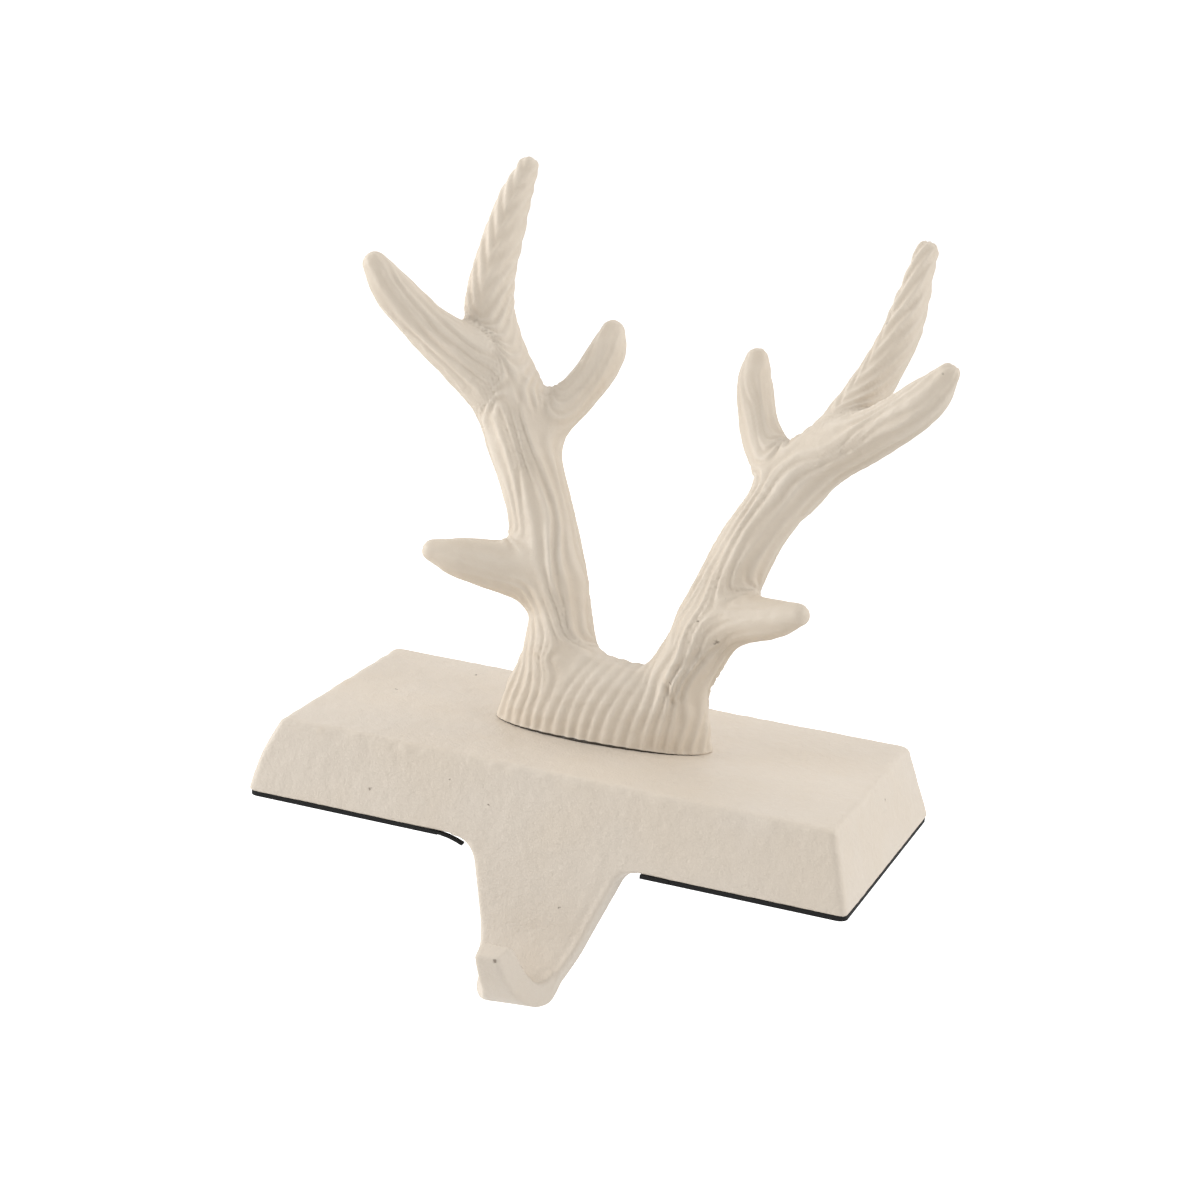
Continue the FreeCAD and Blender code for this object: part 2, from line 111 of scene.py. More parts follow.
def rounded_max(first: Array, second: Array, radius: float) -> Array:
    """Intersect two distance fields with a rounded edge.

    Inside, it is the larger field. Near the edge it is the distance from a corner set back by radius,
    less radius, so the edge is an arc of that radius.

    Args:
        first: One field, negative inside.
        second: The other field.
        radius: Radius of the rounded edge.

    Returns:
        The field of what lies inside both.
    """
    a = first + radius
    b = second + radius
    return np.minimum(np.maximum(a, b), 0.0) + np.hypot(np.maximum(a, 0.0), np.maximum(b, 0.0)) - radius


class LatticeNoise:
    """Smooth noise from random values on a cubic lattice, mixed between its eight corners."""

    ENTRIES = 4096
    PRIMES = (73856093, 19349663, 83492791)
    LAYER_SHIFT = 37.7

    def __init__(self, seed: int) -> None:
        """Draw the table of lattice values."""
        self.table = np.random.default_rng(seed).uniform(-1.0, 1.0, self.ENTRIES).astype(np.float32)

    def __call__(self, points: Array, size: float) -> Array:
        """Noise at points, on a lattice with cells of the given size.

        Args:
            points: N by 3 coordinates.
            size: Cell size in the same unit.

        Returns:
            N values between -1 and 1.
        """
        scaled = np.asarray(points, np.float64) / size
        cell = np.floor(scaled).astype(np.int64)
        share = scaled - cell
        share = share * share * (3.0 - 2.0 * share)
        total = np.zeros(len(scaled))
        for corner in np.ndindex(2, 2, 2):
            entry = np.bitwise_xor.reduce((cell + corner) * self.PRIMES, axis=1) & (self.ENTRIES - 1)
            weight = np.prod(np.where(np.array(corner) == 1, share, 1.0 - share), axis=1)
            total += weight * self.table[entry]
        return total

    def layered(self, points: Array, size: float, layers: int) -> Array:
        """Sum of layers of the noise, each half the size and half the height of the one before."""
        return sum(self(points + self.LAYER_SHIFT * layer, size / 2 ** layer) / 2 ** layer
                   for layer in range(layers))


@dataclass(frozen=True)
class Wave:
    """Noise that raises a surface: its height, the size of its cells, and its layers."""

    height: float
    size: float
    layers: int = 1

    def over(self, noise: LatticeNoise, points: Array) -> Array:
        """Height of the wave at each point."""
        return self.height * noise.layered(points, self.size, self.layers)


# Surfaces from distance fields


class Grid:
    """Sample points of a box, closer together where the surface needs it, in millimetres."""

    def __init__(self, spans: tuple[tuple[tuple[float, float, float], ...], ...]) -> None:
        """Lay out the samples.

        Args:
            spans: For each axis, spans of (start, end, step) that follow one another.
        """
        self.axes = []
        for axis in spans:
            parts = [np.linspace(a, b, max(1, round((b - a) / step)), endpoint=False) for a, b, step in axis]
            self.axes.append(np.concatenate([*parts, [axis[-1][1]]]).astype(np.float32))

    def window(self, low: Array, high: Array) -> tuple[slice, slice, slice]:
        """Index ranges of the samples that lie in a smaller box."""
        first = [max(0, int(np.searchsorted(axis, a)) - 1) for axis, a in zip(self.axes, low)]
        last = [int(np.searchsorted(axis, b)) + 1 for axis, b in zip(self.axes, high)]
        return tuple(slice(a, b) for a, b in zip(first, last))

    def mesh(self, part: tuple[slice, slice, slice]) -> list[Array]:
        """X, Y and Z of the samples in a window, as arrays that broadcast together."""
        return np.meshgrid(*[axis[cut] for axis, cut in zip(self.axes, part)], indexing="ij", sparse=True)


class FieldSurface:
    """The zero surface of a sampled distance field, as one closed mesh of quads."""

    EDGES = [(a, b) for a in np.ndindex(2, 2, 2) for b in np.ndindex(2, 2, 2)
             if sum(b) - sum(a) == 1 and sum(abs(p - q) for p, q in zip(a, b)) == 1]
    SLOPE_STEP = 0.55
    SLOPE_FLOOR = 0.3
    MOVE_LIMIT = 0.4
    PASSES = 3

    def __init__(self, grid: Grid, values: Array) -> None:
        """Find the surface: one vertex in each cell that it crosses, one quad across each crossed edge.

        Each vertex is then moved onto the surface along the slope of the field, a few times.

        Args:
            grid: Where the samples are.
            values: The field at the samples, negative inside, positive all round the box.
        """
        self.grid = grid
        self.values = values
        self.points, self.quads = self._net()
        for _ in range(self.PASSES):
            slope = self.slope(self.points)
            length = np.maximum(np.linalg.norm(slope, axis=1, keepdims=True), self.SLOPE_FLOOR)
            move = self.sample(self.points)[:, None] / length
            self.points = self.points - slope / length * np.clip(move, -self.MOVE_LIMIT, self.MOVE_LIMIT)

    def _net(self) -> tuple[Array, Array]:
        """Vertices at the mean of each crossed cell's edge crossings, and quads that join them."""
        values = self.values
        inside = values < 0
        count = np.zeros(np.array(values.shape) - 1, np.int8)
        for corner in np.ndindex(2, 2, 2):
            count += inside[tuple(slice(c, n - 1 + c) for c, n in zip(corner, values.shape))]
        cells = np.argwhere((count > 0) & (count < 8))
        index = np.full(count.shape, -1, np.int64)
        index[tuple(cells.T)] = np.arange(len(cells))
        total = np.zeros((len(cells), 3))
        number = np.zeros(len(cells))
        for start, end in self.EDGES:
            first = values[tuple((cells + start).T)].astype(float)
            last = values[tuple((cells + end).T)].astype(float)
            crossed = (first < 0) != (last < 0)
            share = np.where(crossed, first / np.where(crossed, first - last, 1.0), 0.0)
            place = np.array(start) + share[:, None] * (np.array(end) - np.array(start))
            total += place * crossed[:, None]
            number += crossed
        inner = cells + total / number[:, None]
        points = [np.interp(inner[:, k], np.arange(len(axis)), axis) for k, axis in enumerate(self.grid.axes)]
        quads = []
        for axis in range(3):
            ahead = np.roll(inside, -1, axis)
            edges = np.argwhere(inside != ahead)
            edges = edges[(edges > 0).all(axis=1) & (edges < np.array(values.shape) - 1).all(axis=1)]
            one, two = np.eye(3, dtype=int)[(axis + 1) % 3], np.eye(3, dtype=int)[(axis + 2) % 3]
            ring = [index[tuple((edges - shift).T)] for shift in (one + two, two, 0 * one, one)]
            quad = np.stack(ring, axis=1)
            flip = ~inside[tuple(edges.T)]
            quad[flip] = quad[flip][:, ::-1]
            quads.append(quad)
        return np.stack(points, axis=1), np.concatenate(quads)

    def sample(self, points: Array) -> Array:
        """The field at points, mixed from the eight samples round each."""
        place = [np.interp(points[:, k], axis, np.arange(len(axis))) for k, axis in enumerate(self.grid.axes)]
        place = np.stack(place, axis=1)
        cell = np.clip(np.floor(place).astype(int), 0, np.array(self.values.shape) - 2)
        share = place - cell
        total = np.zeros(len(points))
        for corner in np.ndindex(2, 2, 2):
            weight = np.prod(np.where(np.array(corner) == 1, share, 1.0 - share), axis=1)
            total += weight * self.values[tuple((cell + corner).T)]
        return total

    def slope(self, points: Array) -> Array:
        """Gradient of the field at points, by central differences."""
        shifts = np.eye(3) * self.SLOPE_STEP
        pairs = [self.sample(points + shift) - self.sample(points - shift) for shift in shifts]
        return np.stack(pairs, axis=1) / (2 * self.SLOPE_STEP)

    def normals(self) -> Array:
        """Outward unit normals at the mesh's points."""
        slope = self.slope(self.points)
        return slope / np.maximum(np.linalg.norm(slope, axis=1, keepdims=True), 1e-6)


def make_piece(name: str, points: Array, faces: Array,
               masks: dict[str, Array] | None = None) -> bpy.types.Object:
    """Put points in millimetres and faces of equal length into a new smooth mesh object.

    Args:
        name: Name of the object and its mesh.
        points: N by 3 coordinates in millimetres.
        faces: M by 3 or M by 4 vertex numbers.
        masks: Named values per vertex, written as float attributes.

    Returns:
        The new object, linked to the scene.
    """
    mesh = bpy.data.meshes.new(name)
    corners = faces.shape[1]
    mesh.vertices.add(len(points))
    mesh.vertices.foreach_set("co", (np.asarray(points, np.float32) * MM).ravel())
    mesh.loops.add(faces.size)
    mesh.loops.foreach_set("vertex_index", faces.astype(np.int32).ravel())
    mesh.polygons.add(len(faces))
    mesh.polygons.foreach_set("loop_start", np.arange(len(faces), dtype=np.int32) * corners)
    mesh.polygons.foreach_set("use_smooth", np.ones(len(faces), bool))
    mesh.update(calc_edges=True)
    mesh.validate()
    for mask, values in (masks or {}).items():
        layer = mesh.attributes.new(mask, "FLOAT", "POINT")
        layer.data.foreach_set("value", np.asarray(values, np.float32))
    piece = bpy.data.objects.new(name, mesh)
    bpy.context.scene.collection.objects.link(piece)
    return piece


# Finishes


class Nodes:
    """A short hand for building a node tree."""

    def __init__(self, tree: bpy.types.NodeTree) -> None:
        """Start from an empty tree."""
        self.tree = tree
        tree.nodes.clear()

    def add(self, kind: str, settings: dict | None = None, **sockets: object) -> bpy.types.Node:
        """Add a node.

        Args:
            kind: Blender's node type name.
            settings: Properties of the node itself.
            sockets: Input values or links, by input name with _ for a space.

        Returns:
            The new node.
        """
        node = self.tree.nodes.new(kind)
        for name, value in (settings or {}).items():
            setattr(node, name, value)
        for name, value in sockets.items():
            self.feed(node.inputs[name.replace("_", " ")], value)
        return node

    def feed(self, socket: Socket, value: object) -> None:
        """Link an output to a socket, or set the socket's own value."""
        if isinstance(value, Socket):
            self.tree.links.new(value, socket)
        else:
            socket.default_value = value

    def math(self, operation: str, first: object, second: object = 0.0) -> Socket:
        """Add a Math node on two values and return its output."""
        node = self.add("ShaderNodeMath", {"operation": operation})
        self.feed(node.inputs[0], first)
        self.feed(node.inputs[1], second)
        return node.outputs[0]

    def times(self, first: object, second: object) -> Socket:
        """Multiply two values."""
        return self.math("MULTIPLY", first, second)

    def vector(self, operation: str, first: object, second: object, output: str = "Vector") -> Socket:
        """Add a Vector Math node on two vectors and return one of its outputs."""
        node = self.add("ShaderNodeVectorMath", {"operation": operation})
        self.feed(node.inputs[0], first)
        self.feed(node.inputs[1], second)
        return node.outputs[output]

    def mix(self, share: object, first: object, second: object) -> Socket:
        """Mix two colours by a share and return the result."""
        node = self.add("ShaderNodeMix", {"data_type": "RGBA"})
        self.feed(node.inputs["Factor"], share)
        self.feed(node.inputs[6], first)
        self.feed(node.inputs[7], second)
        return node.outputs[2]

    def noise(self, place: object, scale: object, detail: float = 2.0, roughness: float = 0.5) -> Socket:
        """Add a Noise Texture at a place and return its value."""
        node = self.add("ShaderNodeTexNoise", None, Vector=place, Scale=scale, Detail=detail,
                        Roughness=roughness)
        return node.outputs["Fac"]

    def window(self, value: object, low: float, high: float) -> Socket:
        """Map low to 0 and high to 1, smoothly and clipped."""
        node = self.add("ShaderNodeMapRange", {"interpolation_type": "SMOOTHSTEP"}, Value=value,
                        From_Min=low, From_Max=high)
        return node.outputs["Result"]

    def bump(self, height: Socket, strength: float, distance: float) -> Socket:
        """Add a Bump node, its distance in metres, and return the bent normal."""
        node = self.add("ShaderNodeBump", None, Strength=strength, Distance=distance, Height=height)
        return node.outputs["Normal"]

    def shade(self, **sockets: object) -> None:
        """Add a Principled shader with these inputs and join it to the material's output."""
        shader = self.add("ShaderNodeBsdfPrincipled", None, **sockets)
        self.add("ShaderNodeOutputMaterial", None, Surface=shader.outputs["BSDF"])


def new_material(name: str) -> tuple[Material, Nodes]:
    """Make a material without nodes, and return it with the builder of its nodes."""
    material = bpy.data.materials.new(name)
    material.use_nodes = True
    return material, Nodes(material.node_tree)


def cast_skin_group() -> bpy.types.NodeTree:
    """Build the shared effect of paint over a rough casting.

    Inputs are the place and the scale of the dimples. Outputs are the height of the dimpled paint, a
    mask of broad clouds, and a mask of small dark pits.

    Returns:
        The node group.
    """
    group = bpy.data.node_groups.new("cast_skin", "ShaderNodeTree")
    group.interface.new_socket("Place", in_out="INPUT", socket_type="NodeSocketVector")
    dimple = group.interface.new_socket("Dimple Scale", in_out="INPUT", socket_type="NodeSocketFloat")
    dimple.default_value = 500.0
    for name in ("Height", "Clouds", "Pits"):
        group.interface.new_socket(name, in_out="OUTPUT", socket_type="NodeSocketFloat")
    nodes = Nodes(group)
    entry = nodes.add("NodeGroupInput")
    place = entry.outputs["Place"]
    dimples = nodes.noise(place, entry.outputs["Dimple Scale"], 2.5)
    broad = nodes.noise(place, 130.0, 1.0)
    grit = nodes.noise(place, 1900.0, 1.0)
    height = nodes.math("ADD", nodes.times(dimples, 0.7), nodes.times(broad, 0.9))
    height = nodes.math("ADD", height, nodes.times(grit, 0.25))
    clouds = nodes.window(nodes.noise(place, 38.0, 3.0), 0.35, 0.7)
    spots = nodes.add("ShaderNodeTexVoronoi", None, Vector=place, Scale=95.0, Randomness=1.0)
    rare = nodes.window(nodes.noise(place, 60.0, 1.0), 0.62, 0.7)
    pits = nodes.times(nodes.window(spots.outputs["Distance"], 0.07, 0.03), rare)
    exit_node = nodes.add("NodeGroupOutput")
    for name, value in (("Height", height), ("Clouds", clouds), ("Pits", pits)):
        nodes.feed(exit_node.inputs[name], value)
    return group


@dataclass(frozen=True)
class Chip:
    """A spot where the paint is chipped or stained: its place and its radius, in millimetres."""

    place: Place
    radius: float


BASE_CHIPS = (
    Chip((3.6, -76.1, -15.7), 0.9), Chip((8.8, -45.4, -11.2), 0.35), Chip((-14.8, -40.3, 10.5), 0.4),
    Chip((-26.6, -39.3, 14.7), 0.4), Chip((-48.5, -40.8, 8.3), 0.6), Chip((-61.0, 1.7, 21.7), 0.5),
    Chip((-47.0, 26.0, 21.7), 0.6), Chip((78.5, 7.0, 16.0), 0.5),
)
ANTLER_CHIPS = (
    Chip((30.6, -1.7, 53.0), 0.9), Chip((24.8, -1.6, 58.0), 0.6), Chip((31.5, 0.5, 64.5), 0.5),
    Chip((54.3, -6.2, 66.7), 1.2), Chip((79.5, 8.5, 131.0), 0.6), Chip((57.6, 37.1, 136.3), 0.7),
    Chip((20.5, -6.0, 41.0), 0.5), Chip((75.0, 7.0, 123.2), 0.5),
)


@dataclass(frozen=True)
class CastPaint:
    """Cream paint over a rough casting, with painted shade that darkens it a little in the carving's grooves.
    """

    name: str
    chips: tuple[Chip, ...]
    colour: Colour = (0.752, 0.67, 0.566, 1.0)
    shade: Colour = (0.70, 0.605, 0.49, 1.0)
    # Colour of the painted shade in the carving's grooves.
    groove_shade_colour: Colour = (0.55, 0.455, 0.345, 1.0)
    stain: Colour = (0.66, 0.52, 0.37, 1.0)
    pit: Colour = (0.16, 0.12, 0.08, 1.0)
    # Near-black colour of the painted shadow in the thin gap under the antler foot's front.
    gap_shadow: Colour = (0.05, 0.04, 0.03, 1.0)
    roughness: float = 0.5
    bump: float = 0.6
    bump_distance: float = 0.0006
    dimple_scale: float = 480.0
    cloud_share: float = 0.45
    stain_share: float = 0.22
    pit_share: float = 0.35
    pit_depth: float = 0.7
    groove_shade_strength: float = 0.0
    # Where the painted gap shadow starts, how high it reaches and how far along the foot it runs; None paints
    # none.
    gap_shadow_level: float | None = None
    gap_shadow_height: float = 0.7
    gap_shadow_reach: float = 31.0
    chip_share: float = 0.7
    chip_bend: float = 0.9
    chip_core: float = 0.4

    def chipped(self, nodes: Nodes, place: Socket) -> Socket:
        """Mask of the chips: 1 near each chip's place, measured from a place that noise has bent."""
        noise = nodes.add("ShaderNodeTexNoise", None, Vector=place, Scale=1100.0, Detail=2.0)
        bend = nodes.vector("SUBTRACT", noise.outputs["Color"], (0.5, 0.5, 0.5))
        bend = nodes.vector("MULTIPLY", bend, (2 * self.chip_bend * MM,) * 3)
        bent = nodes.vector("ADD", place, bend)
        mask = 0.0
        for chip in self.chips:
            away = nodes.vector("DISTANCE", bent, tuple(part * MM for part in chip.place), "Value")
            spot = nodes.window(away, chip.radius * MM, self.chip_core * chip.radius * MM)
            mask = nodes.math("MAXIMUM", mask, spot)
        return mask

    def gap_shadowed(self, nodes: Nodes, place: Socket) -> Socket:
        """Mask of the painted shadow of the gap under the foot's front, which closes towards the foot's ends.

        Its height is its full height times 1 - (x / reach)^2, and it is painted on the front only.
        """
        parts = nodes.add("ShaderNodeSeparateXYZ", None, Vector=place).outputs
        along = nodes.math("ABSOLUTE", nodes.math("DIVIDE", parts["X"], self.gap_shadow_reach * MM))
        share = nodes.math("SUBTRACT", 1.0, nodes.math("POWER", along, 2.0))
        above = nodes.math("SUBTRACT", parts["Z"], self.gap_shadow_level * MM)
        open_part = nodes.math("LESS_THAN", above, nodes.times(share, self.gap_shadow_height * MM))
        return nodes.times(open_part, nodes.math("LESS_THAN", parts["Y"], 0.0))

    def material(self, skin: bpy.types.NodeTree) -> Material:
        """Build the material around the shared skin group.

        Args:
            skin: The cast_skin node group.

        Returns:
            The new material.
        """
        material, nodes = new_material(self.name)
        place = nodes.add("ShaderNodeTexCoord").outputs["Object"]
        settings = {"node_tree": skin}
        effect = nodes.add("ShaderNodeGroup", settings, Place=place, Dimple_Scale=self.dimple_scale).outputs
        colour = nodes.mix(nodes.times(effect["Clouds"], self.cloud_share), self.colour, self.shade)
        if self.groove_shade_strength > 0:
            # Painted shade: darken the colour where the carving is deep, standing in for the shade in the
            # grooves.
            groove_shade = nodes.add("ShaderNodeAttribute", {"attribute_name": "groove_shade"}).outputs["Fac"]
            colour = nodes.mix(nodes.times(groove_shade, self.groove_shade_strength), colour, self.groove_shade_colour)
        stains = nodes.window(nodes.noise(place, 75.0, 3.0, 0.6), 0.66, 0.78)
        colour = nodes.mix(nodes.times(stains, self.stain_share), colour, self.stain)
        chips = nodes.times(self.chipped(nodes, place), self.chip_share)
        pits = nodes.math("MAXIMUM", nodes.times(effect["Pits"], self.pit_share), chips)
        colour = nodes.mix(pits, colour, self.pit)
        if self.gap_shadow_level is not None:
            # Painted shadow: a dark band along the bottom of the foot's front, standing in for the shade in
            # the gap.
            colour = nodes.mix(self.gap_shadowed(nodes, place), colour, self.gap_shadow)
        height = nodes.math("SUBTRACT", effect["Height"], nodes.times(pits, self.pit_depth))
        normal = nodes.bump(height, self.bump, self.bump_distance)
        nodes.shade(Base_Color=colour, Roughness=self.roughness, IOR=1.45, Normal=normal)
        return material


@dataclass(frozen=True)
class Felt:
    """Matt black pad material with a fine nap."""

    name: str = "black_felt"
    colour: Colour = (0.006, 0.006, 0.006, 1.0)
    lint: Colour = (0.03, 0.029, 0.027, 1.0)

    def material(self) -> Material:
        """Build the felt's material."""
        material, nodes = new_material(self.name)
        place = nodes.add("ShaderNodeTexCoord").outputs["Object"]
        nap = nodes.noise(place, 2600.0, 3.0, 0.7)
        colour = nodes.mix(nodes.window(nap, 0.55, 0.8), self.colour, self.lint)
        nodes.shade(Base_Color=colour, Roughness=0.95, Normal=nodes.bump(nap, 0.6, 0.0003))
        return material


@dataclass(frozen=True)
class ZincPlate:
    """Dull zinc on the hidden screws and washers."""

    name: str = "zinc_plate"
    colour: Colour = (0.5, 0.5, 0.51, 1.0)
    dull: Colour = (0.33, 0.34, 0.36, 1.0)

    def material(self) -> Material:
        """Build the plated steel's material."""
        material, nodes = new_material(self.name)
        place = nodes.add("ShaderNodeTexCoord").outputs["Object"]
        cloud = nodes.noise(place, 500.0, 3.0)
        colour = nodes.mix(nodes.window(cloud, 0.35, 0.65), self.colour, self.dull)
        nodes.shade(Base_Color=colour, Metallic=1.0, Roughness=0.42)
        return material


# Base casting


@dataclass(frozen=True)
class HookWidth:
    """Where the hook's sides lie, on its front and its back, at a run down the plate and round the curl."""

    run: float
    left_front: float
    right_front: float
    left_back: float
    right_back: float


@dataclass
class HookPlace:
    """Where points lie in the leaning frame of the block's front, and where the hook's sides are there."""

    down: Array
    void: Array
    out: Array
    fall: Array
    left: Array
    right: Array


@dataclass
class BaseCasting:
    """The weighted block with its hook plate and curled hook, in one casting."""

    length: float = 166.8
    depth: float = 85.0
    height: float = 20.5
    end_slope: float = 6.6
    front_slope: float = 4.9
    left_bulge: float = 1.2
    underside: float = 1.2
    top_round: float = 1.6
    corner_round: float = 1.7
    rim_round: float = 0.8
    thickness: float = 6.0
    centre_drop: float = 10.6
    sole: float = 4.3
    curl_radius: float = 21.3
    curl_angle: float = 62.0
    heel_round: float = 16.5
    trough_round: float = 13.5
    hook_edge_round: float = 1.0
    lap: float = 3.0
    hook_widths: tuple[HookWidth, ...] = (
        HookWidth(0.0, -18.1, 23.2, -19.9, 24.1), HookWidth(29.0, -9.7, 12.8, -11.4, 13.1),
        HookWidth(38.0, -5.6, 10.6, -3.9, 9.8), HookWidth(45.0, -3.3, 9.0, -1.8, 7.0),
        HookWidth(50.0, -3.0, 7.9, -1.8, 5.8), HookWidth(57.0, -2.9, 5.4, -2.3, 3.9),
    )
    sole_tilt: float = 0.08
    tilt_from: float = 10.0
    tilt_reach: float = 13.0
    left_root: float = 8.5
    right_root: float = 5.0
    side_taper: float = 0.34
    rim_inset: float = 2.6
    rim_width: float = 1.15
    rim_depth: float = 0.24
    fine_paint: Wave = Wave(0.075, 3.4, 2)
    fine_stretch: Place = (1.2, 1.2, 0.9)
    slow_paint: Wave = Wave(0.08, 13.0)
    paint_rise: tuple[float, float] = (-4.0, 6.0)
    ragged_edge: Wave = Wave(0.20, 3.6, 2)
    ragged_band: tuple[float, float] = (4.0, 1.0)
    screw_places: tuple[float, float] = (-16.0, 18.0)
    hole_radius: float = 2.75
    bore_radius: float = 6.25
    bore_depth: float = 7.0
    noise: LatticeNoise = field(default_factory=lambda: LatticeNoise(11))

    def block(self, x: Array, y: Array, z: Array) -> Array:
        """Field of the block: the largest distance to its six planes, with rounded edges.

        The left end swells a little half way up, by a sine of the height.
        """
        up = z - self.underside
        end_lean = self.end_slope / self.height
        front_lean = self.front_slope / self.height
        swell = self.left_bulge * np.sin(math.pi * np.clip(up / self.height, 0, 1)) * (x < 0)
        ends = (np.abs(x) - swell - self.length / 2 + up * end_lean) / math.hypot(1, end_lean)
        faces = (np.abs(y) - self.depth / 2 + up * front_lean) / math.hypot(1, front_lean)
        sides = rounded_max(ends, faces, self.corner_round)
        return rounded_max(rounded_max(sides, up - self.height, self.top_round), -up, self.rim_round)

    def hook_place(self, y: Array, z: Array) -> HookPlace:
        """Work out the hook's own coordinates.

        The run goes down the plate and then round the curl. The sides are tables over the run, mixed
        between front and back by how deep a point lies in the metal.
        """
        lean = math.atan(self.front_slope / self.height)
        back = y + self.depth / 2
        up = z - self.underside
        ahead = up * math.sin(lean) - back * math.cos(lean)
        down = -back * math.sin(lean) - up * math.cos(lean)
        out = ahead - self.sole
        fall = down - self.centre_drop
        reach = np.where(out > 0, np.hypot(out, fall), fall)
        void = rounded_max(-ahead, reach - self.curl_radius, self.trough_round)
        deep = np.clip(void / self.thickness, 0, 1)
        base = self.centre_drop + self.curl_radius
        run = np.where(out > 0, base + self.curl_radius * np.arctan2(out, fall), np.clip(down, 0, base))
        runs = [width.run for width in self.hook_widths]
        left_front, right_front, left_back, right_back = (
            np.interp(run, runs, [getattr(width, edge) for width in self.hook_widths])
            for edge in ("left_front", "right_front", "left_back", "right_back"))
        left = left_front * (1 - deep) + left_back * deep
        right = right_front * (1 - deep) + right_back * deep
        return HookPlace(down, void, out, fall, left, right)

    def side(self, beyond: Array, down: Array, edge: Array, root: float) -> Array:
        """Field of one side of the hook plate, with the quarter fillet under the block.

        Args:
            beyond: Distance from the middle, out towards this side.
            down: Distance below the block's edge.
            edge: Where the side lies, as far from the middle, without its fillet.
            root: Radius of the fillet.

        Returns:
            Distance outside the side.
        """
        slant = math.hypot(1, self.side_taper)
        reach = root * (1 - self.side_taper / slant)
        centre = edge + self.side_taper * np.clip(down, 0, reach) + root * (slant - self.side_taper)
        corner = root - np.hypot(np.maximum(centre - beyond, 0), root - down)
        return np.where(down < 0, beyond - centre, np.where(down < reach, corner, (beyond - edge) / slant))

    def hook(self, x: Array, y: Array, z: Array) -> Array:
        """Field of the hook: its side profile, rounded into its sides, and thicker below to the left."""
        at = self.hook_place(y, z)
        reach = np.where(at.out > 0, np.hypot(at.out, at.fall), at.fall)
        behind = -(at.out + self.sole) - self.thickness
        angle = math.radians(self.curl_angle)
        thick = self.thickness + self.sole_tilt * np.clip(self.tilt_from - x, 0, self.tilt_reach)
        shell = rounded_max(behind, reach - self.curl_radius - thick, self.heel_round)
        tip = np.where(at.out > 0, at.out * math.cos(angle) - at.fall * math.sin(angle), -FAR)
        strap = rounded_max(shell, tip, self.hook_edge_round)
        profile = rounded_max(np.maximum(strap, -at.down - self.lap), -at.void, self.hook_edge_round)
        profile = rounded_max(profile, self.side(x, at.down, at.right, self.right_root), self.hook_edge_round)
        return rounded_max(profile, self.side(-x, at.down, -at.left, self.left_root), self.hook_edge_round)

    def surface(self) -> tuple[Array, Array]:
        """Sample block, hook and screw holes on a grid, and cut out the skin with its lumps.

        Returns:
            Points in millimetres and quads.
        """
        end, front = self.length / 2 + 2.5, self.depth / 2
        top = self.underside + self.height
        grid = Grid((
            ((-end, -end + 13, 0.7), (-end + 13, -26, 1.1), (-26, 30, 0.6),
             (30, end - 13, 1.1), (end - 13, end, 0.7)),
            ((-front - 35, -front + 8, 0.6), (-front + 8, front - 8, 1.25), (front - 8, front + 2, 0.7)),
            ((-39, 2.4, 0.6), (2.4, top - 4, 1.0), (top - 4, top + 2, 0.6)),
        ))
        x, y, z = grid.mesh((slice(None),) * 3)
        values = np.minimum(self.block(x, y, z), self.hook(x, y, z))
        for place in self.screw_places:
            away = np.hypot(x - place, y)
            values = np.maximum(values, self.hole_radius - away)
            bore = np.maximum(away - self.bore_radius, z - self.underside - self.bore_depth)
            values = np.maximum(values, -bore)
        skin = FieldSurface(grid, values.astype(np.float32))
        points, normals = skin.points, skin.normals()
        return points + normals * self.lumps(points, normals)[:, None], skin.quads

    def lumps(self, points: Array, normals: Array) -> Array:
        """How far each point stands out.

        Paint lies in slow waves on every outer face, lower on the hook. The top edges are ragged, and a
        shallow valley runs inside the right edge of the hook's front.
        """
        outside = 1 - smooth_share(-normals[:, 2], 0.8, 0.95) * (points[:, 2] > 0.5)
        fine = self.fine_paint.over(self.noise, points * self.fine_stretch)
        paint = fine + self.slow_paint.over(self.noise, points)
        paint = paint * (0.5 + 0.5 * smooth_share(points[:, 2], *self.paint_rise))
        low, high = (self.underside + self.height - below for below in self.ragged_band)
        edge = smooth_share(points[:, 2], low, high) * (1 - np.abs(normals[:, 2]) ** 4)
        ragged = self.ragged_edge.over(self.noise, points + 91.0)
        at = self.hook_place(points[:, 1], points[:, 2])
        rim = np.exp(-((at.right - points[:, 0] - self.rim_inset) / self.rim_width) ** 2)
        rim = rim * (np.abs(at.void) < 0.8) * smooth_share(at.down, 1.0, 5.0)
        return outside * paint + edge * ragged - self.rim_depth * rim

    def build(self, paint: Material) -> bpy.types.Object:
        """Make the casting and dress it.

        Args:
            paint: The cast paint.

        Returns:
            The finished piece.
        """
        piece = make_piece("base_casting_skin", *self.surface())
        piece.data.materials.append(paint)
        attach(piece, BODY)
        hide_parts("base_casting")
        return piece


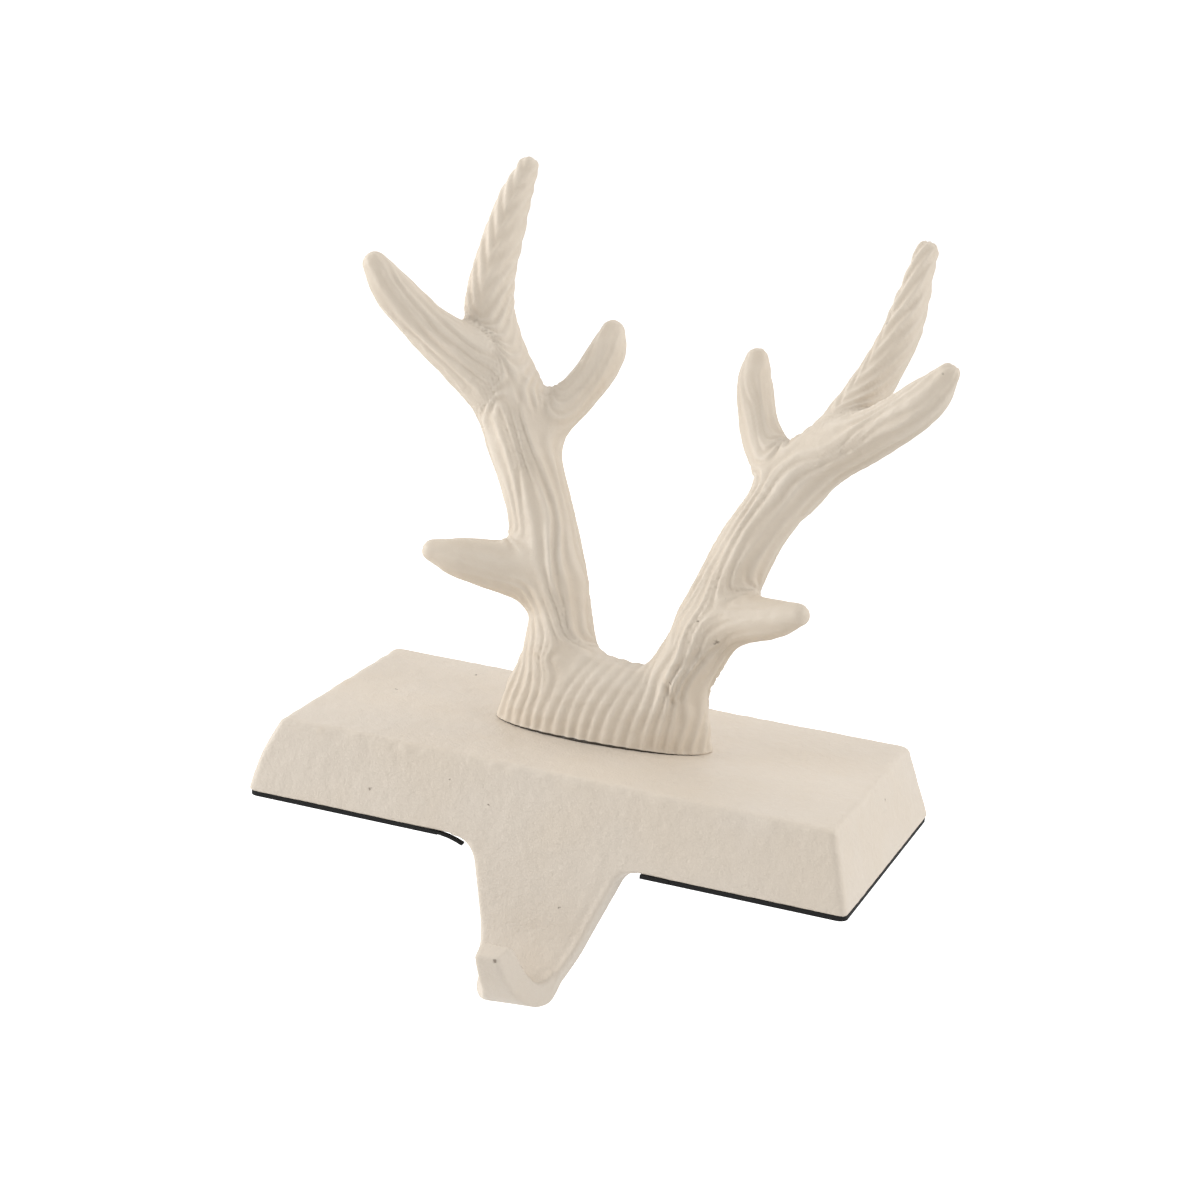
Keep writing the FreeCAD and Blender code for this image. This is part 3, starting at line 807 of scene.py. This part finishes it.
@dataclass
class PadFlaps:
    """The pad's two ends beside the hook, where it bends with the casting's edge."""

    left_thickness: float = 0.65
    right_thickness: float = 1.0
    depth: float = 1.6
    front: float = -42.5
    front_lean: float = 0.239
    set_back: float = 0.25
    samples: int = 25
    left_line: tuple[tuple[float, float], ...] = (
        (-34.0, 0.7), (-30.0, 0.7), (-27.5, 0.6), (-25.0, 0.2), (-23.0, -0.4), (-20.9, -1.3))
    right_line: tuple[tuple[float, float], ...] = ((36.0, 0.6), (32.0, 0.6), (28.4, 0.6))

    def strip(self, name: str, line: tuple[tuple[float, float], ...], thickness: float,
              felt: Material) -> None:
        """Carry a rectangle along a line in x and z, just behind the front edge.

        Args:
            name: Name of the piece.
            line: Middle of the strip's thickness.
            thickness: Thickness of the strip.
            felt: The felt material.
        """
        knots = np.array(line)
        share = np.linspace(0, len(knots) - 1, self.samples)
        middle = np.stack([np.interp(share, np.arange(len(knots)), knots[:, k]) for k in range(2)], axis=1)
        run = np.gradient(middle, axis=0)
        run /= np.linalg.norm(run, axis=1, keepdims=True)
        up = np.stack([-run[:, 1], run[:, 0]], axis=1) * thickness / 2
        up[up[:, 1] < 0] *= -1
        front = self.front - middle[:, 1] * self.front_lean + self.set_back
        corners = []
        for side, back in ((1, 0.0), (1, self.depth), (-1, self.depth), (-1, 0.0)):
            edge = middle + side * up
            corners.append(np.stack([edge[:, 0], front + back, edge[:, 1]], axis=1))
        points = np.stack(corners, axis=1).reshape(-1, 3)
        starts = np.arange(self.samples - 1)[:, None] * 4
        last = (self.samples - 1) * 4
        sides = [starts + np.array([[a, (a + 1) % 4, (a + 1) % 4 + 4, a + 4]]) for a in range(4)]
        faces = np.concatenate([*sides, [[3, 2, 1, 0], [last, last + 1, last + 2, last + 3]]])
        if knots[-1, 0] > knots[0, 0]:
            faces = faces[:, ::-1]
        piece = make_piece(name, points, faces)
        piece.data.polygons.foreach_set("use_smooth", np.zeros(len(faces), bool))
        piece.data.materials.append(felt)
        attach(piece, BODY)

    def build(self, felt: Material) -> None:
        """Make both flaps."""
        self.strip("pad_flap_left", self.left_line, self.left_thickness, felt)
        self.strip("pad_flap_right", self.right_line, self.right_thickness, felt)


# Antler casting


def soft_part(values: Array, soft: float) -> Array:
    """One field's part in a soft union: exp(-distance / soft), held finite deep inside."""
    return np.exp(-np.clip(values, -12 * soft, None) / soft)


def raised_cosine(phase: Array) -> Array:
    """A wave between 0 and 1 that crests at every whole phase."""
    return 0.5 + 0.5 * np.cos(2 * math.pi * phase)


@dataclass
class Limb:
    """A beam or a tine: stations of x, y, z and radius above the foot, and how it is carved."""

    name: str
    stations: tuple[tuple[float, float, float, float], ...]
    depths: tuple[float, float, float]
    side: Side = Side.NONE
    parent: str = ""
    vein: float | None = None
    feather_from: float = 1.0
    start: float = 0.0
    offset: float = 0.0

    PER_SPAN = 14
    RUN_LIMIT = 2.0
    SOFT_REACH = 6

    def __post_init__(self) -> None:
        """Work out the centre line: a Catmull-Rom curve through the stations, sampled evenly in share.

        The last station is where the limb's round end reaches, so its centre is one radius short of it.
        """
        knots = np.array(self.stations)
        last = knots[-1, :3] - knots[-2, :3]
        knots[-1, :3] -= last / np.linalg.norm(last) * knots[-1, 3]
        before = 2 * knots[0] - knots[1]
        after = 2 * knots[-1] - knots[-2]
        padded = np.vstack([before, knots, after])
        share = np.linspace(0, 1, self.PER_SPAN, endpoint=False)[:, None]
        spans = []
        for index in range(len(knots) - 1):
            p0, p1, p2, p3 = padded[index:index + 4]
            bend = 2 * p0 - 5 * p1 + 4 * p2 - p3
            twist = 3 * p1 - p0 - 3 * p2 + p3
            spans.append(0.5 * (2 * p1 + (p2 - p0) * share + bend * share ** 2 + twist * share ** 3))
        line = np.vstack([*spans, knots[-1:]])
        self.line = line[:, :3]
        self.radius = line[:, 3]
        steps = np.linalg.norm(np.diff(self.line, axis=0), axis=1)
        self.along = np.concatenate([[0.0], np.cumsum(steps)])
        tangent = np.gradient(self.line, axis=0)
        self.tangent = tangent / np.linalg.norm(tangent, axis=1, keepdims=True)
        front = np.array([0.0, -1.0, 0.0]) - self.tangent * -self.tangent[:, 1:2]
        self.front = front / np.linalg.norm(front, axis=1, keepdims=True)
        self.lateral = np.cross(self.tangent, self.front)

    def follow(self, points: Array) -> tuple[Array, Array, Array, Array]:
        """Place points on the limb.

        Args:
            points: N by 3 coordinates.

        Returns:
            Distance outside the limb's surface, run along it, distance round it from its front
            (arc of its own radius), and the radius there.
        """
        gaps = (points ** 2).sum(1)[:, None] - 2 * points @ self.line.T + (self.line ** 2).sum(1)[None]
        nearest = np.argmin(gaps, axis=1)
        rel = points - self.line[nearest]
        run = np.clip((rel * self.tangent[nearest]).sum(1), -self.RUN_LIMIT, self.RUN_LIMIT)
        radius = np.interp(self.along[nearest] + run, self.along, self.radius)
        rel = rel - self.tangent[nearest] * run[:, None]
        away = np.linalg.norm(rel, axis=1)
        angle = np.arctan2((rel * self.lateral[nearest]).sum(1), (rel * self.front[nearest]).sum(1))
        return away - radius, self.along[nearest] + run, radius * angle, radius

    def carve_into(self, grid: Grid, soft: float, total: Array) -> None:
        """Add the limb to a soft union.

        The limb's own field is the least distance to its cones, in the box round it.

        Args:
            grid: Where the samples are.
            soft: Softness of the union, in millimetres.
            total: The union's sum so far, which is added to in place.
        """
        margin = self.radius.max() + self.SOFT_REACH * soft
        box = grid.window(self.line.min(0) - margin, self.line.max(0) + margin)
        own = np.full(total[box].shape, FAR, np.float32)
        for first, last, r0, r1 in zip(self.line[:-1], self.line[1:], self.radius[:-1], self.radius[1:]):
            reach = max(r0, r1) + self.SOFT_REACH * soft
            near = grid.window(np.minimum(first, last) - reach, np.maximum(first, last) + reach)
            part = tuple(slice(n.start - b.start, n.stop - b.start) for n, b in zip(near, box))
            x, y, z = grid.mesh(near)
            run = last - first
            length = float(run @ run)
            share = ((x - first[0]) * run[0] + (y - first[1]) * run[1] + (z - first[2]) * run[2]) / length
            share = np.clip(share, 0, 1)
            gap = (x - first[0] - share * run[0]) ** 2 + (y - first[1] - share * run[1]) ** 2
            gap = np.sqrt(gap + (z - first[2] - share * run[2]) ** 2) - (r0 + share * (r1 - r0))
            own[part] = np.minimum(own[part], gap)
        total[box] += soft_part(own, soft)


@dataclass
class Stroke:
    """A cut made by hand into the front of the casting, along a line given in x and z."""

    line: tuple[tuple[float, float], ...]
    width: float
    depth: float

    def cut(self, points: Array, facing: Array) -> Array:
        """Depth of the cut at each point: a bell curve of the distance from the line, on the front only."""
        flat = points[:, [0, 2]]
        gap = np.full(len(points), FAR)
        for first, last in zip(np.array(self.line[:-1]), np.array(self.line[1:])):
            run = last - first
            share = np.clip((flat - first) @ run / (run @ run), 0, 1)
            gap = np.minimum(gap, np.linalg.norm(flat - first - share[:, None] * run, axis=1))
        return -self.depth * np.exp(-(gap / self.width) ** 2) * smooth_share(facing, 0.0, 0.4)


LIMBS = (
    Limb("left_beam", (
        (-15.0, 2.0, 6.0, 9.8), (-15.3, 3.0, 17.0, 10.3), (-17.0, 6.0, 28.5, 8.6), (-21.5, 9.0, 38.5, 9.3),
        (-31.9, 16.0, 62.0, 8.9), (-43.0, 22.5, 82.5, 9.2), (-54.6, 32.5, 104.5, 7.0),
        (-56.7, 48.0, 127.5, 5.3), (-56.0, 59.5, 142.2, 3.2),
    ), (0.95, 0.9, 0.6), vein=0.6, feather_from=74.0),
    Limb("left_crown", (
        (-43.0, 21.5, 82.0, 8.6), (-54.0, 19.5, 91.0, 8.5), (-65.0, 17.0, 98.5, 6.4),
        (-75.5, 14.0, 108.0, 5.6), (-82.8, 11.5, 117.8, 3.5),
    ), (0.8, 0.6, 0.25), Side.LEFT, "left_beam"),
    Limb("left_inner", (
        (-36.0, 18.5, 70.4, 7.2), (-29.9, 23.0, 78.3, 6.0), (-23.5, 30.5, 87.8, 5.6),
        (-20.5, 35.5, 95.5, 5.2), (-20.2, 40.0, 104.0, 3.5),
    ), (0.55, 0.45, 0.2), Side.RIGHT, "left_beam"),
    Limb("left_brow", (
        (-22.0, 9.0, 37.0, 7.6), (-31.0, 5.5, 39.0, 7.4), (-44.0, 0.5, 41.0, 5.7), (-54.8, -3.5, 43.2, 3.1),
    ), (0.5, 0.3, 0.15), Side.LEFT, "left_beam"),
    Limb("right_beam", (
        (17.5, 2.0, 6.0, 9.0), (19.0, 2.5, 17.5, 8.8), (22.8, 5.5, 27.5, 8.7), (26.2, 8.5, 38.5, 8.6),
        (33.4, 13.0, 58.5, 8.1), (42.8, 18.5, 75.4, 7.4), (51.9, 26.0, 90.8, 6.3),
        (59.0, 38.5, 109.3, 5.7), (60.3, 59.5, 134.0, 3.5),
    ), (1.0, 1.0, 0.75), vein=-4.0, feather_from=78.0),
    Limb("right_crown", (
        (41.5, 18.5, 74.2, 6.9), (51.5, 17.5, 83.0, 7.6), (64.0, 15.0, 91.8, 6.6),
        (74.0, 13.0, 100.7, 5.9), (81.6, 11.5, 111.0, 3.4),
    ), (0.9, 0.85, 0.5), Side.RIGHT, "right_beam"),
    Limb("right_inner", (
        (38.5, 18.0, 72.0, 6.9), (31.3, 23.0, 79.0, 5.9), (25.8, 29.0, 86.0, 5.1),
        (22.5, 35.0, 94.0, 4.8), (20.9, 40.0, 102.4, 3.2),
    ), (0.75, 0.6, 0.25), Side.LEFT, "right_beam"),
    Limb("right_brow", (
        (24.0, 7.0, 32.0, 7.0), (34.0, 4.0, 37.0, 6.6), (44.0, 0.5, 40.0, 5.2), (53.8, -3.5, 44.2, 3.1),
    ), (0.6, 0.3, 0.12), Side.RIGHT, "right_beam"),
)

STROKES = (
    Stroke(((17.6, 19.4), (19.4, 16.3), (21.0, 13.9)), 0.7, 0.7),
    Stroke(((20.0, 22.8), (22.6, 25.0), (24.8, 27.4)), 1.1, 0.6),
    Stroke(((22.4, 15.5), (24.0, 20.4), (26.8, 25.4)), 1.0, 0.6),
)


@dataclass
class AntlerCasting:
    """The fluted saddle and both antlers, one casting that stands on the base."""

    shift: float = 1.0
    floor: float = 21.7
    foot_turn: float = 3.0
    saddle_height: float = 19.8
    saddle_round: float = 4.0
    saddle_tilt: float = 0.15
    tilt_from: float = 8.0
    tilt_reach: float = 25.0
    levels: tuple[tuple[float, float, float], ...] = (
        (0.0, 61.0, 22.0), (5.0, 59.0, 21.0), (11.0, 55.5, 19.0), (16.0, 50.0, 15.5), (19.8, 42.0, 12.0))
    soft: float = 1.7
    pitch: float = 3.2
    flute_pitch: float = 3.5
    flute_lean: float = 0.03
    flute_curve: float = 0.017
    flute_depth: float = 0.75
    flute_fade: float = 0.45
    fade_heights: tuple[float, float] = (9.0, 20.0)
    saddle_favour: float = 0.8
    saddle_calm: float = 0.65
    feather_pitch: float = 7.6
    feather_lean: float = 2.4
    feather_share: float = 0.9
    feather_rise: float = 9.0
    beam_favour: float = 2.0
    favour_runs: tuple[float, float] = (45.0, 60.0)
    depth_shares: tuple[float, float, float] = (0.0, 0.6, 1.0)
    blend: float = 1.3
    grain_cell: Place = (7.0, 19.0, 0.0)
    grain_bend: float = 1.9
    fine_cell: Place = (2.6, 9.0, 9.0)
    fine_bend: float = 0.6
    crest: float = 0.75
    nicks: tuple[Wave, Wave] = (Wave(0.10, 2.3), Wave(0.14, 6.0))
    lowest: float = -1.3
    highest: float = 0.9
    step: float = 0.62
    box_low: Place = (-90.0, -16.0, -1.8)
    box_high: Place = (90.0, 66.0, 146.0)
    saddle_low: Place = (-42.0, -20.0, -4.0)
    saddle_high: Place = (42.0, 20.0, 30.0)
    tap_radius: float = 2.5
    tap_depth: float = 14.0
    tap_places: tuple[float, float] = (-17.0, 17.0)
    noise: LatticeNoise = field(default_factory=lambda: LatticeNoise(5))

    def turned(self, x: Array, y: Array) -> tuple[Array, Array]:
        """Coordinates along and across the foot, which is turned a little on the base."""
        c, s = math.cos(math.radians(self.foot_turn)), math.sin(math.radians(self.foot_turn))
        return x * c + y * s, y * c - x * s

    def oval(self, z: Array) -> tuple[Array, Array]:
        """Half the length and half the width of the saddle's oval at a height."""
        heights, lengths, widths = (np.array(part) for part in zip(*self.levels))
        return np.interp(z, heights, lengths) / 2, np.interp(z, heights, widths) / 2

    def saddle(self, x: Array, y: Array, z: Array) -> Array:
        """Field of the saddle: an oval that shrinks with height, under a soft top that rises to the left.

        The distance is how far a point lies beyond the oval, along the line from the oval's middle.
        """
        a, b = self.oval(z)
        u, v = self.turned(x, y)
        ratio = np.sqrt((u / a) ** 2 + (v / b) ** 2) + 1e-6
        around = (ratio - 1) * np.sqrt(u ** 2 + v ** 2) / ratio
        top = self.saddle_height + self.saddle_tilt * np.clip(self.tilt_from - u, 0, self.tilt_reach)
        return rounded_max(np.maximum(around, -b), z - top, self.saddle_round)

    def skin(self) -> FieldSurface:
        """Join saddle and limbs in a soft union and cut it flat at the foot.

        The union is -soft times the logarithm of the sum of exp(-distance / soft), which leaves a web in
        each crotch.

        Returns:
            The uncarved surface, in coordinates from the middle of the foot.
        """
        grid = Grid(tuple(((low, high, self.step),) for low, high in zip(self.box_low, self.box_high)))
        total = np.full([len(axis) for axis in grid.axes], 1e-9, np.float32)
        for limb in LIMBS:
            limb.carve_into(grid, self.soft, total)
        box = grid.window(np.array(self.saddle_low), np.array(self.saddle_high))
        x, y, z = grid.mesh(box)
        total[box] += soft_part(self.saddle(x, y, z), self.soft)
        values = -self.soft * np.log(total)
        values = np.maximum(values, -grid.axes[2][None, None, :])
        low = grid.window(np.array((-30.0, -8.0, -3.0)), np.array((30.0, 8.0, self.tap_depth + 3)))
        x, y, z = grid.mesh(low)
        for place in self.tap_places:
            bore = np.maximum(np.hypot(x - place, y) - self.tap_radius, z - self.tap_depth)
            values[low] = np.maximum(values[low], -bore)
        return FieldSurface(grid, values)

    def saddle_flow(self, points: Array) -> tuple[Array, Array]:
        """Distance along the foot's side from its middle, and height, of each point.

        The distance is that along the foot, plus a share of the way that the oval has turned back there.
        It is the same on the front and the back, so that the grain runs over the top between them.
        """
        u, _ = self.turned(points[:, 0], points[:, 1])
        a, b = self.oval(points[:, 2])
        turned_back = b * (1 - np.sqrt(1 - np.clip(u / a, -1, 1) ** 2))
        return u + 0.4 * np.sign(u) * turned_back, points[:, 2]

    def flow(self, points: Array) -> dict[str, Array]:
        """Follow the grain over the whole casting.

        Each limb gives its own distance round it and run along it. They are mixed by how near each
        limb's surface is, so the grain of a beam splits into its tines.

        Args:
            points: N by 3 coordinates from the middle of the foot.

        Returns:
            Arrays round, along, depth, barbs (their phase), feather (their share) and saddle (its share).
        """
        limbs = {limb.name: limb for limb in LIMBS}
        places = {}
        for limb in LIMBS:
            away, run, around, radius = limb.follow(points)
            if limb.parent:
                parent = limbs[limb.parent]
                _, at, _, wide = parent.follow(limb.line[:1])
                start = parent.start + at[0]
                offset = parent.offset + limb.side.value * (wide[0] - limb.radius[0]) * math.pi / 2
            else:
                away = away - self.beam_favour * smooth_share(run, *self.favour_runs)
                start, offset = limb.stations[0][2], limb.stations[0][0] * self.pitch / self.flute_pitch
            limb.start, limb.offset = start, offset
            depth = np.interp(run / limb.along[-1], self.depth_shares, limb.depths)
            barbs = (run - self.feather_lean * np.abs(around - (limb.vein or 0.0))) / self.feather_pitch
            feathered = 0 * run
            if limb.vein is not None:
                rise = smooth_share(run, limb.feather_from, limb.feather_from + self.feather_rise)
                feathered = self.feather_share * rise
            places[limb.name] = (away, around + offset, run + start, depth, barbs, feathered)
        around, height = self.saddle_flow(points)
        edge = self.saddle(*points.T) - self.saddle_favour
        leaning = around - self.flute_lean * height - self.flute_curve * height ** 2
        fading = self.flute_depth * (1 - self.flute_fade * smooth_share(height, *self.fade_heights))
        places["saddle"] = (edge, leaning * self.pitch / self.flute_pitch, height, fading,
                            0 * height, 0 * height)
        away = np.stack([place[0] for place in places.values()])
        weight = np.exp(-(away - away.min(0)) / self.blend)
        weight /= weight.sum(0)
        names = ("round", "along", "depth", "barbs", "feather")
        mixed = {name: (weight * np.stack([place[1 + i] for place in places.values()])).sum(0)
                 for i, name in enumerate(names)}
        return mixed | {"saddle": weight[-1]}

    def carving(self, points: Array, normals: Array) -> Array:
        """Height of the carving at each point.

        Long ridges are a raised cosine of the distance round, bent by noise that is stretched along the
        grain, and a finer set half as wide comes and goes between them. Barbs are the same curve of the
        feather's phase. Shallow nicks follow a finer noise. Crests reach about the limb's own surface.
        """
        flow = self.flow(points)
        grain, fine = (
            np.stack([flow["round"] / wide, flow["along"] / long, layer + 0 * flow["round"]], axis=1)
            for wide, long, layer in (self.grain_cell, self.fine_cell))
        loose = 1 - self.saddle_calm * flow["saddle"]
        bend = loose * (self.grain_bend * self.noise(grain, 1.0) + self.fine_bend * self.noise(fine, 1.0))
        phase = (flow["round"] + bend) / self.pitch
        thread = raised_cosine(2.0 * phase + 0.3 + 0.4 * self.noise(grain + 3.1, 1.0))
        swell = np.clip(0.8 + 0.5 * loose * self.noise(grain * 1.6 + 5.3, 1.0), 0.1, 1.15)
        threads = np.clip(0.15 + 0.75 * self.noise(grain * 1.3 + 17.9, 1.0), 0.0, 0.5) * loose
        ridges = raised_cosine(phase) * swell * (1 - threads) + thread * threads
        barb = raised_cosine(flow["barbs"] + 0.5 * self.noise(grain, 1.0))
        feather = barb * np.clip(0.7 + 0.6 * self.noise(fine * 0.6, 1.0), 0.1, 1.0)
        cut = ridges * (1 - flow["feather"]) + feather * flow["feather"]
        nicks = sum(wave.over(self.noise, points) for wave in self.nicks)
        height = flow["depth"] * (cut - self.crest) + nicks
        for stroke in STROKES:
            height = height + stroke.cut(points, -normals[:, 1])
        return height * smooth_share(points[:, 2], -0.2, 1.0)

    def build(self, paint: Material) -> bpy.types.Object:
        """Make the casting and dress it.

        Args:
            paint: The cast paint.

        Returns:
            The finished piece.
        """
        skin = self.skin()
        normals = skin.normals()
        height = self.carving(skin.points, normals)
        level = np.abs(normals[:, 2]) * (skin.points[:, 2] < 0.5)
        points = skin.points + normals * (np.clip(height, self.lowest, self.highest) * (1 - level))[:, None]
        points[:, 2] = np.maximum(points[:, 2], 0.0)
        # Depth of each point in the carving, kept as a mask for the painted shade in the grooves.
        groove_shade = np.clip(0.5 - height / self.highest, 0, 1)
        points = points + np.array((self.shift, 0.0, self.floor))
        piece = make_piece("antler_casting_skin", points, skin.quads, {"groove_shade": groove_shade})
        piece.data.materials.append(paint)
        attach(piece, BODY)
        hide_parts("antler_casting")
        return piece


# Set and camera


def place_in_scene(thing: bpy.types.Object, right: Array, top: Array, back: Array, place: Place) -> None:
    """Turn an object so that its X, Y and Z point right, to the top and back, and link it at its place."""
    turn = np.eye(4)
    turn[:3] = np.stack([right, top, back, place], axis=1)
    thing.matrix_world = Matrix(turn.tolist())
    bpy.context.scene.collection.objects.link(thing)


@dataclass
class Studio:
    """White floor, soft light from the front left and above, and the camera."""

    floor_level: float = -0.16
    floor_half: float = 9.0
    focal_px: float = 2854.97
    frame_px: float = 1200.0
    camera_place: Place = (0.23308, -0.69071, 0.27233)
    azimuth: float = 18.88
    elevation: float = 16.34
    roll: float = 4.954
    middle: Place = (0.0, 0.0, 0.05)
    room: float = 0.6
    floor_glow: float = 0.6
    lamp_size: float = 0.7

    def camera(self) -> None:
        """Place the camera from its azimuth, elevation and roll."""
        az, el, roll = (math.radians(angle) for angle in (self.azimuth, self.elevation, self.roll))
        look = np.array([-math.sin(az) * math.cos(el), math.cos(az) * math.cos(el), -math.sin(el)])
        level = np.cross(look, (0, 0, 1))
        level /= np.linalg.norm(level)
        upright = np.cross(level, look)
        right = math.cos(roll) * level + math.sin(roll) * upright
        top = math.cos(roll) * upright - math.sin(roll) * level
        data = bpy.data.cameras.new("camera")
        data.sensor_fit = "AUTO"
        data.sensor_width = 36.0
        data.lens = data.sensor_width * self.focal_px / self.frame_px
        data.clip_start = 0.01
        data.clip_end = 60.0
        camera = bpy.data.objects.new("camera", data)
        place_in_scene(camera, right, top, -look, self.camera_place)
        bpy.context.scene.camera = camera

    def soft_box(self, name: str, place: Place, power: float) -> None:
        """Hang a square area lamp that faces the holder.

        Args:
            name: Name of the lamp.
            place: Where it hangs, in metres.
            power: Power in watts.
        """
        data = bpy.data.lights.new(name, "AREA")
        data.shape = "SQUARE"
        data.size = self.lamp_size
        data.energy = power
        away = np.array(place) - np.array(self.middle)
        back = away / np.linalg.norm(away)
        side = np.cross((0, 0, 1), back)
        side /= np.linalg.norm(side)
        place_in_scene(bpy.data.objects.new(name, data), side, np.cross(back, side), back, place)

    def floor(self) -> None:
        """Lay the white floor, which keeps the holder's shadow."""
        half, level = self.floor_half / MM, self.floor_level / MM
        corners = [(x * half, y * half, level) for x, y in ((-1, -1), (1, -1), (1, 1), (-1, 1))]
        floor = make_piece("floor", np.array(corners), np.array([[0, 1, 2, 3]]))
        material, nodes = new_material("white_floor")
        seen = nodes.add("ShaderNodeLightPath").outputs["Is Camera Ray"]
        nodes.shade(Base_Color=(0.9, 0.9, 0.9, 1.0), Roughness=1.0, Emission_Color=(1.0, 1.0, 1.0, 1.0),
                    Emission_Strength=nodes.times(seen, self.floor_glow))
        floor.data.materials.append(material)

    def world(self) -> None:
        """Light everything evenly from the room, and show white to the camera."""
        world = bpy.data.worlds.new("room")
        bpy.context.scene.world = world
        world.use_nodes = True
        nodes = Nodes(world.node_tree)
        path = nodes.add("ShaderNodeLightPath")
        seen = nodes.math("MAXIMUM", path.outputs["Is Camera Ray"], path.outputs["Is Glossy Ray"])
        strength = nodes.math("ADD", self.room, nodes.times(seen, 1.0 - self.room))
        background = nodes.add("ShaderNodeBackground", None, Color=(1.0, 1.0, 1.0, 1.0), Strength=strength)
        nodes.add("ShaderNodeOutputWorld", None, Surface=background.outputs["Background"])

    def build(self) -> None:
        """Set the view transform, light, floor and camera."""
        bpy.context.scene.view_settings.view_transform = "Standard"
        self.world()
        self.floor()
        self.soft_box("left_light", (-1.20, -0.40, 0.33), 9.4)
        self.soft_box("right_light", (1.03, -0.13, 0.83), 4.0)
        self.soft_box("high_light", (0.0, 0.78, 1.09), 1.6)
        self.soft_box("back_left_light", (-1.04, 0.58, 0.57), 2.2)
        self.soft_box("back_right_light", (0.91, 0.65, 0.70), 3.0)
        self.camera()


def dress_nodes(felt: Material, zinc: Material) -> None:
    """Give the solids that stay as they are their finishes."""
    finishes = {"base_pad": felt, "antler_screws": zinc, "screw_washers": zinc}
    for name, material in finishes.items():
        node = frame["nodes"][name]
        node.data.materials.clear()
        node.data.materials.append(material)
        LOG.info("dressed %s", name)


def main() -> None:
    """Build the castings, dress the other solids, and set up the studio."""
    logging.basicConfig(level=logging.INFO, format="%(name)s: %(message)s")
    skin = cast_skin_group()
    base_paint = CastPaint("base_paint", BASE_CHIPS, colour=(0.715, 0.635, 0.54, 1.0), bump=0.65)
    # The antler paint carries painted shade in its grooves and a painted shadow under its foot's front.
    antler_paint = CastPaint("antler_paint", ANTLER_CHIPS, bump=0.35, dimple_scale=620.0,
                             groove_shade_strength=0.35, gap_shadow_level=AntlerCasting.floor)
    for casting, paint in ((BaseCasting(), base_paint), (AntlerCasting(), antler_paint)):
        piece = casting.build(paint.material(skin))
        LOG.info("built %s: %d faces", piece.name, len(piece.data.polygons))
    felt = Felt().material()
    PadFlaps().build(felt)
    dress_nodes(felt, ZincPlate().material())
    Studio().build()


if __name__ == "__main__":
    main()
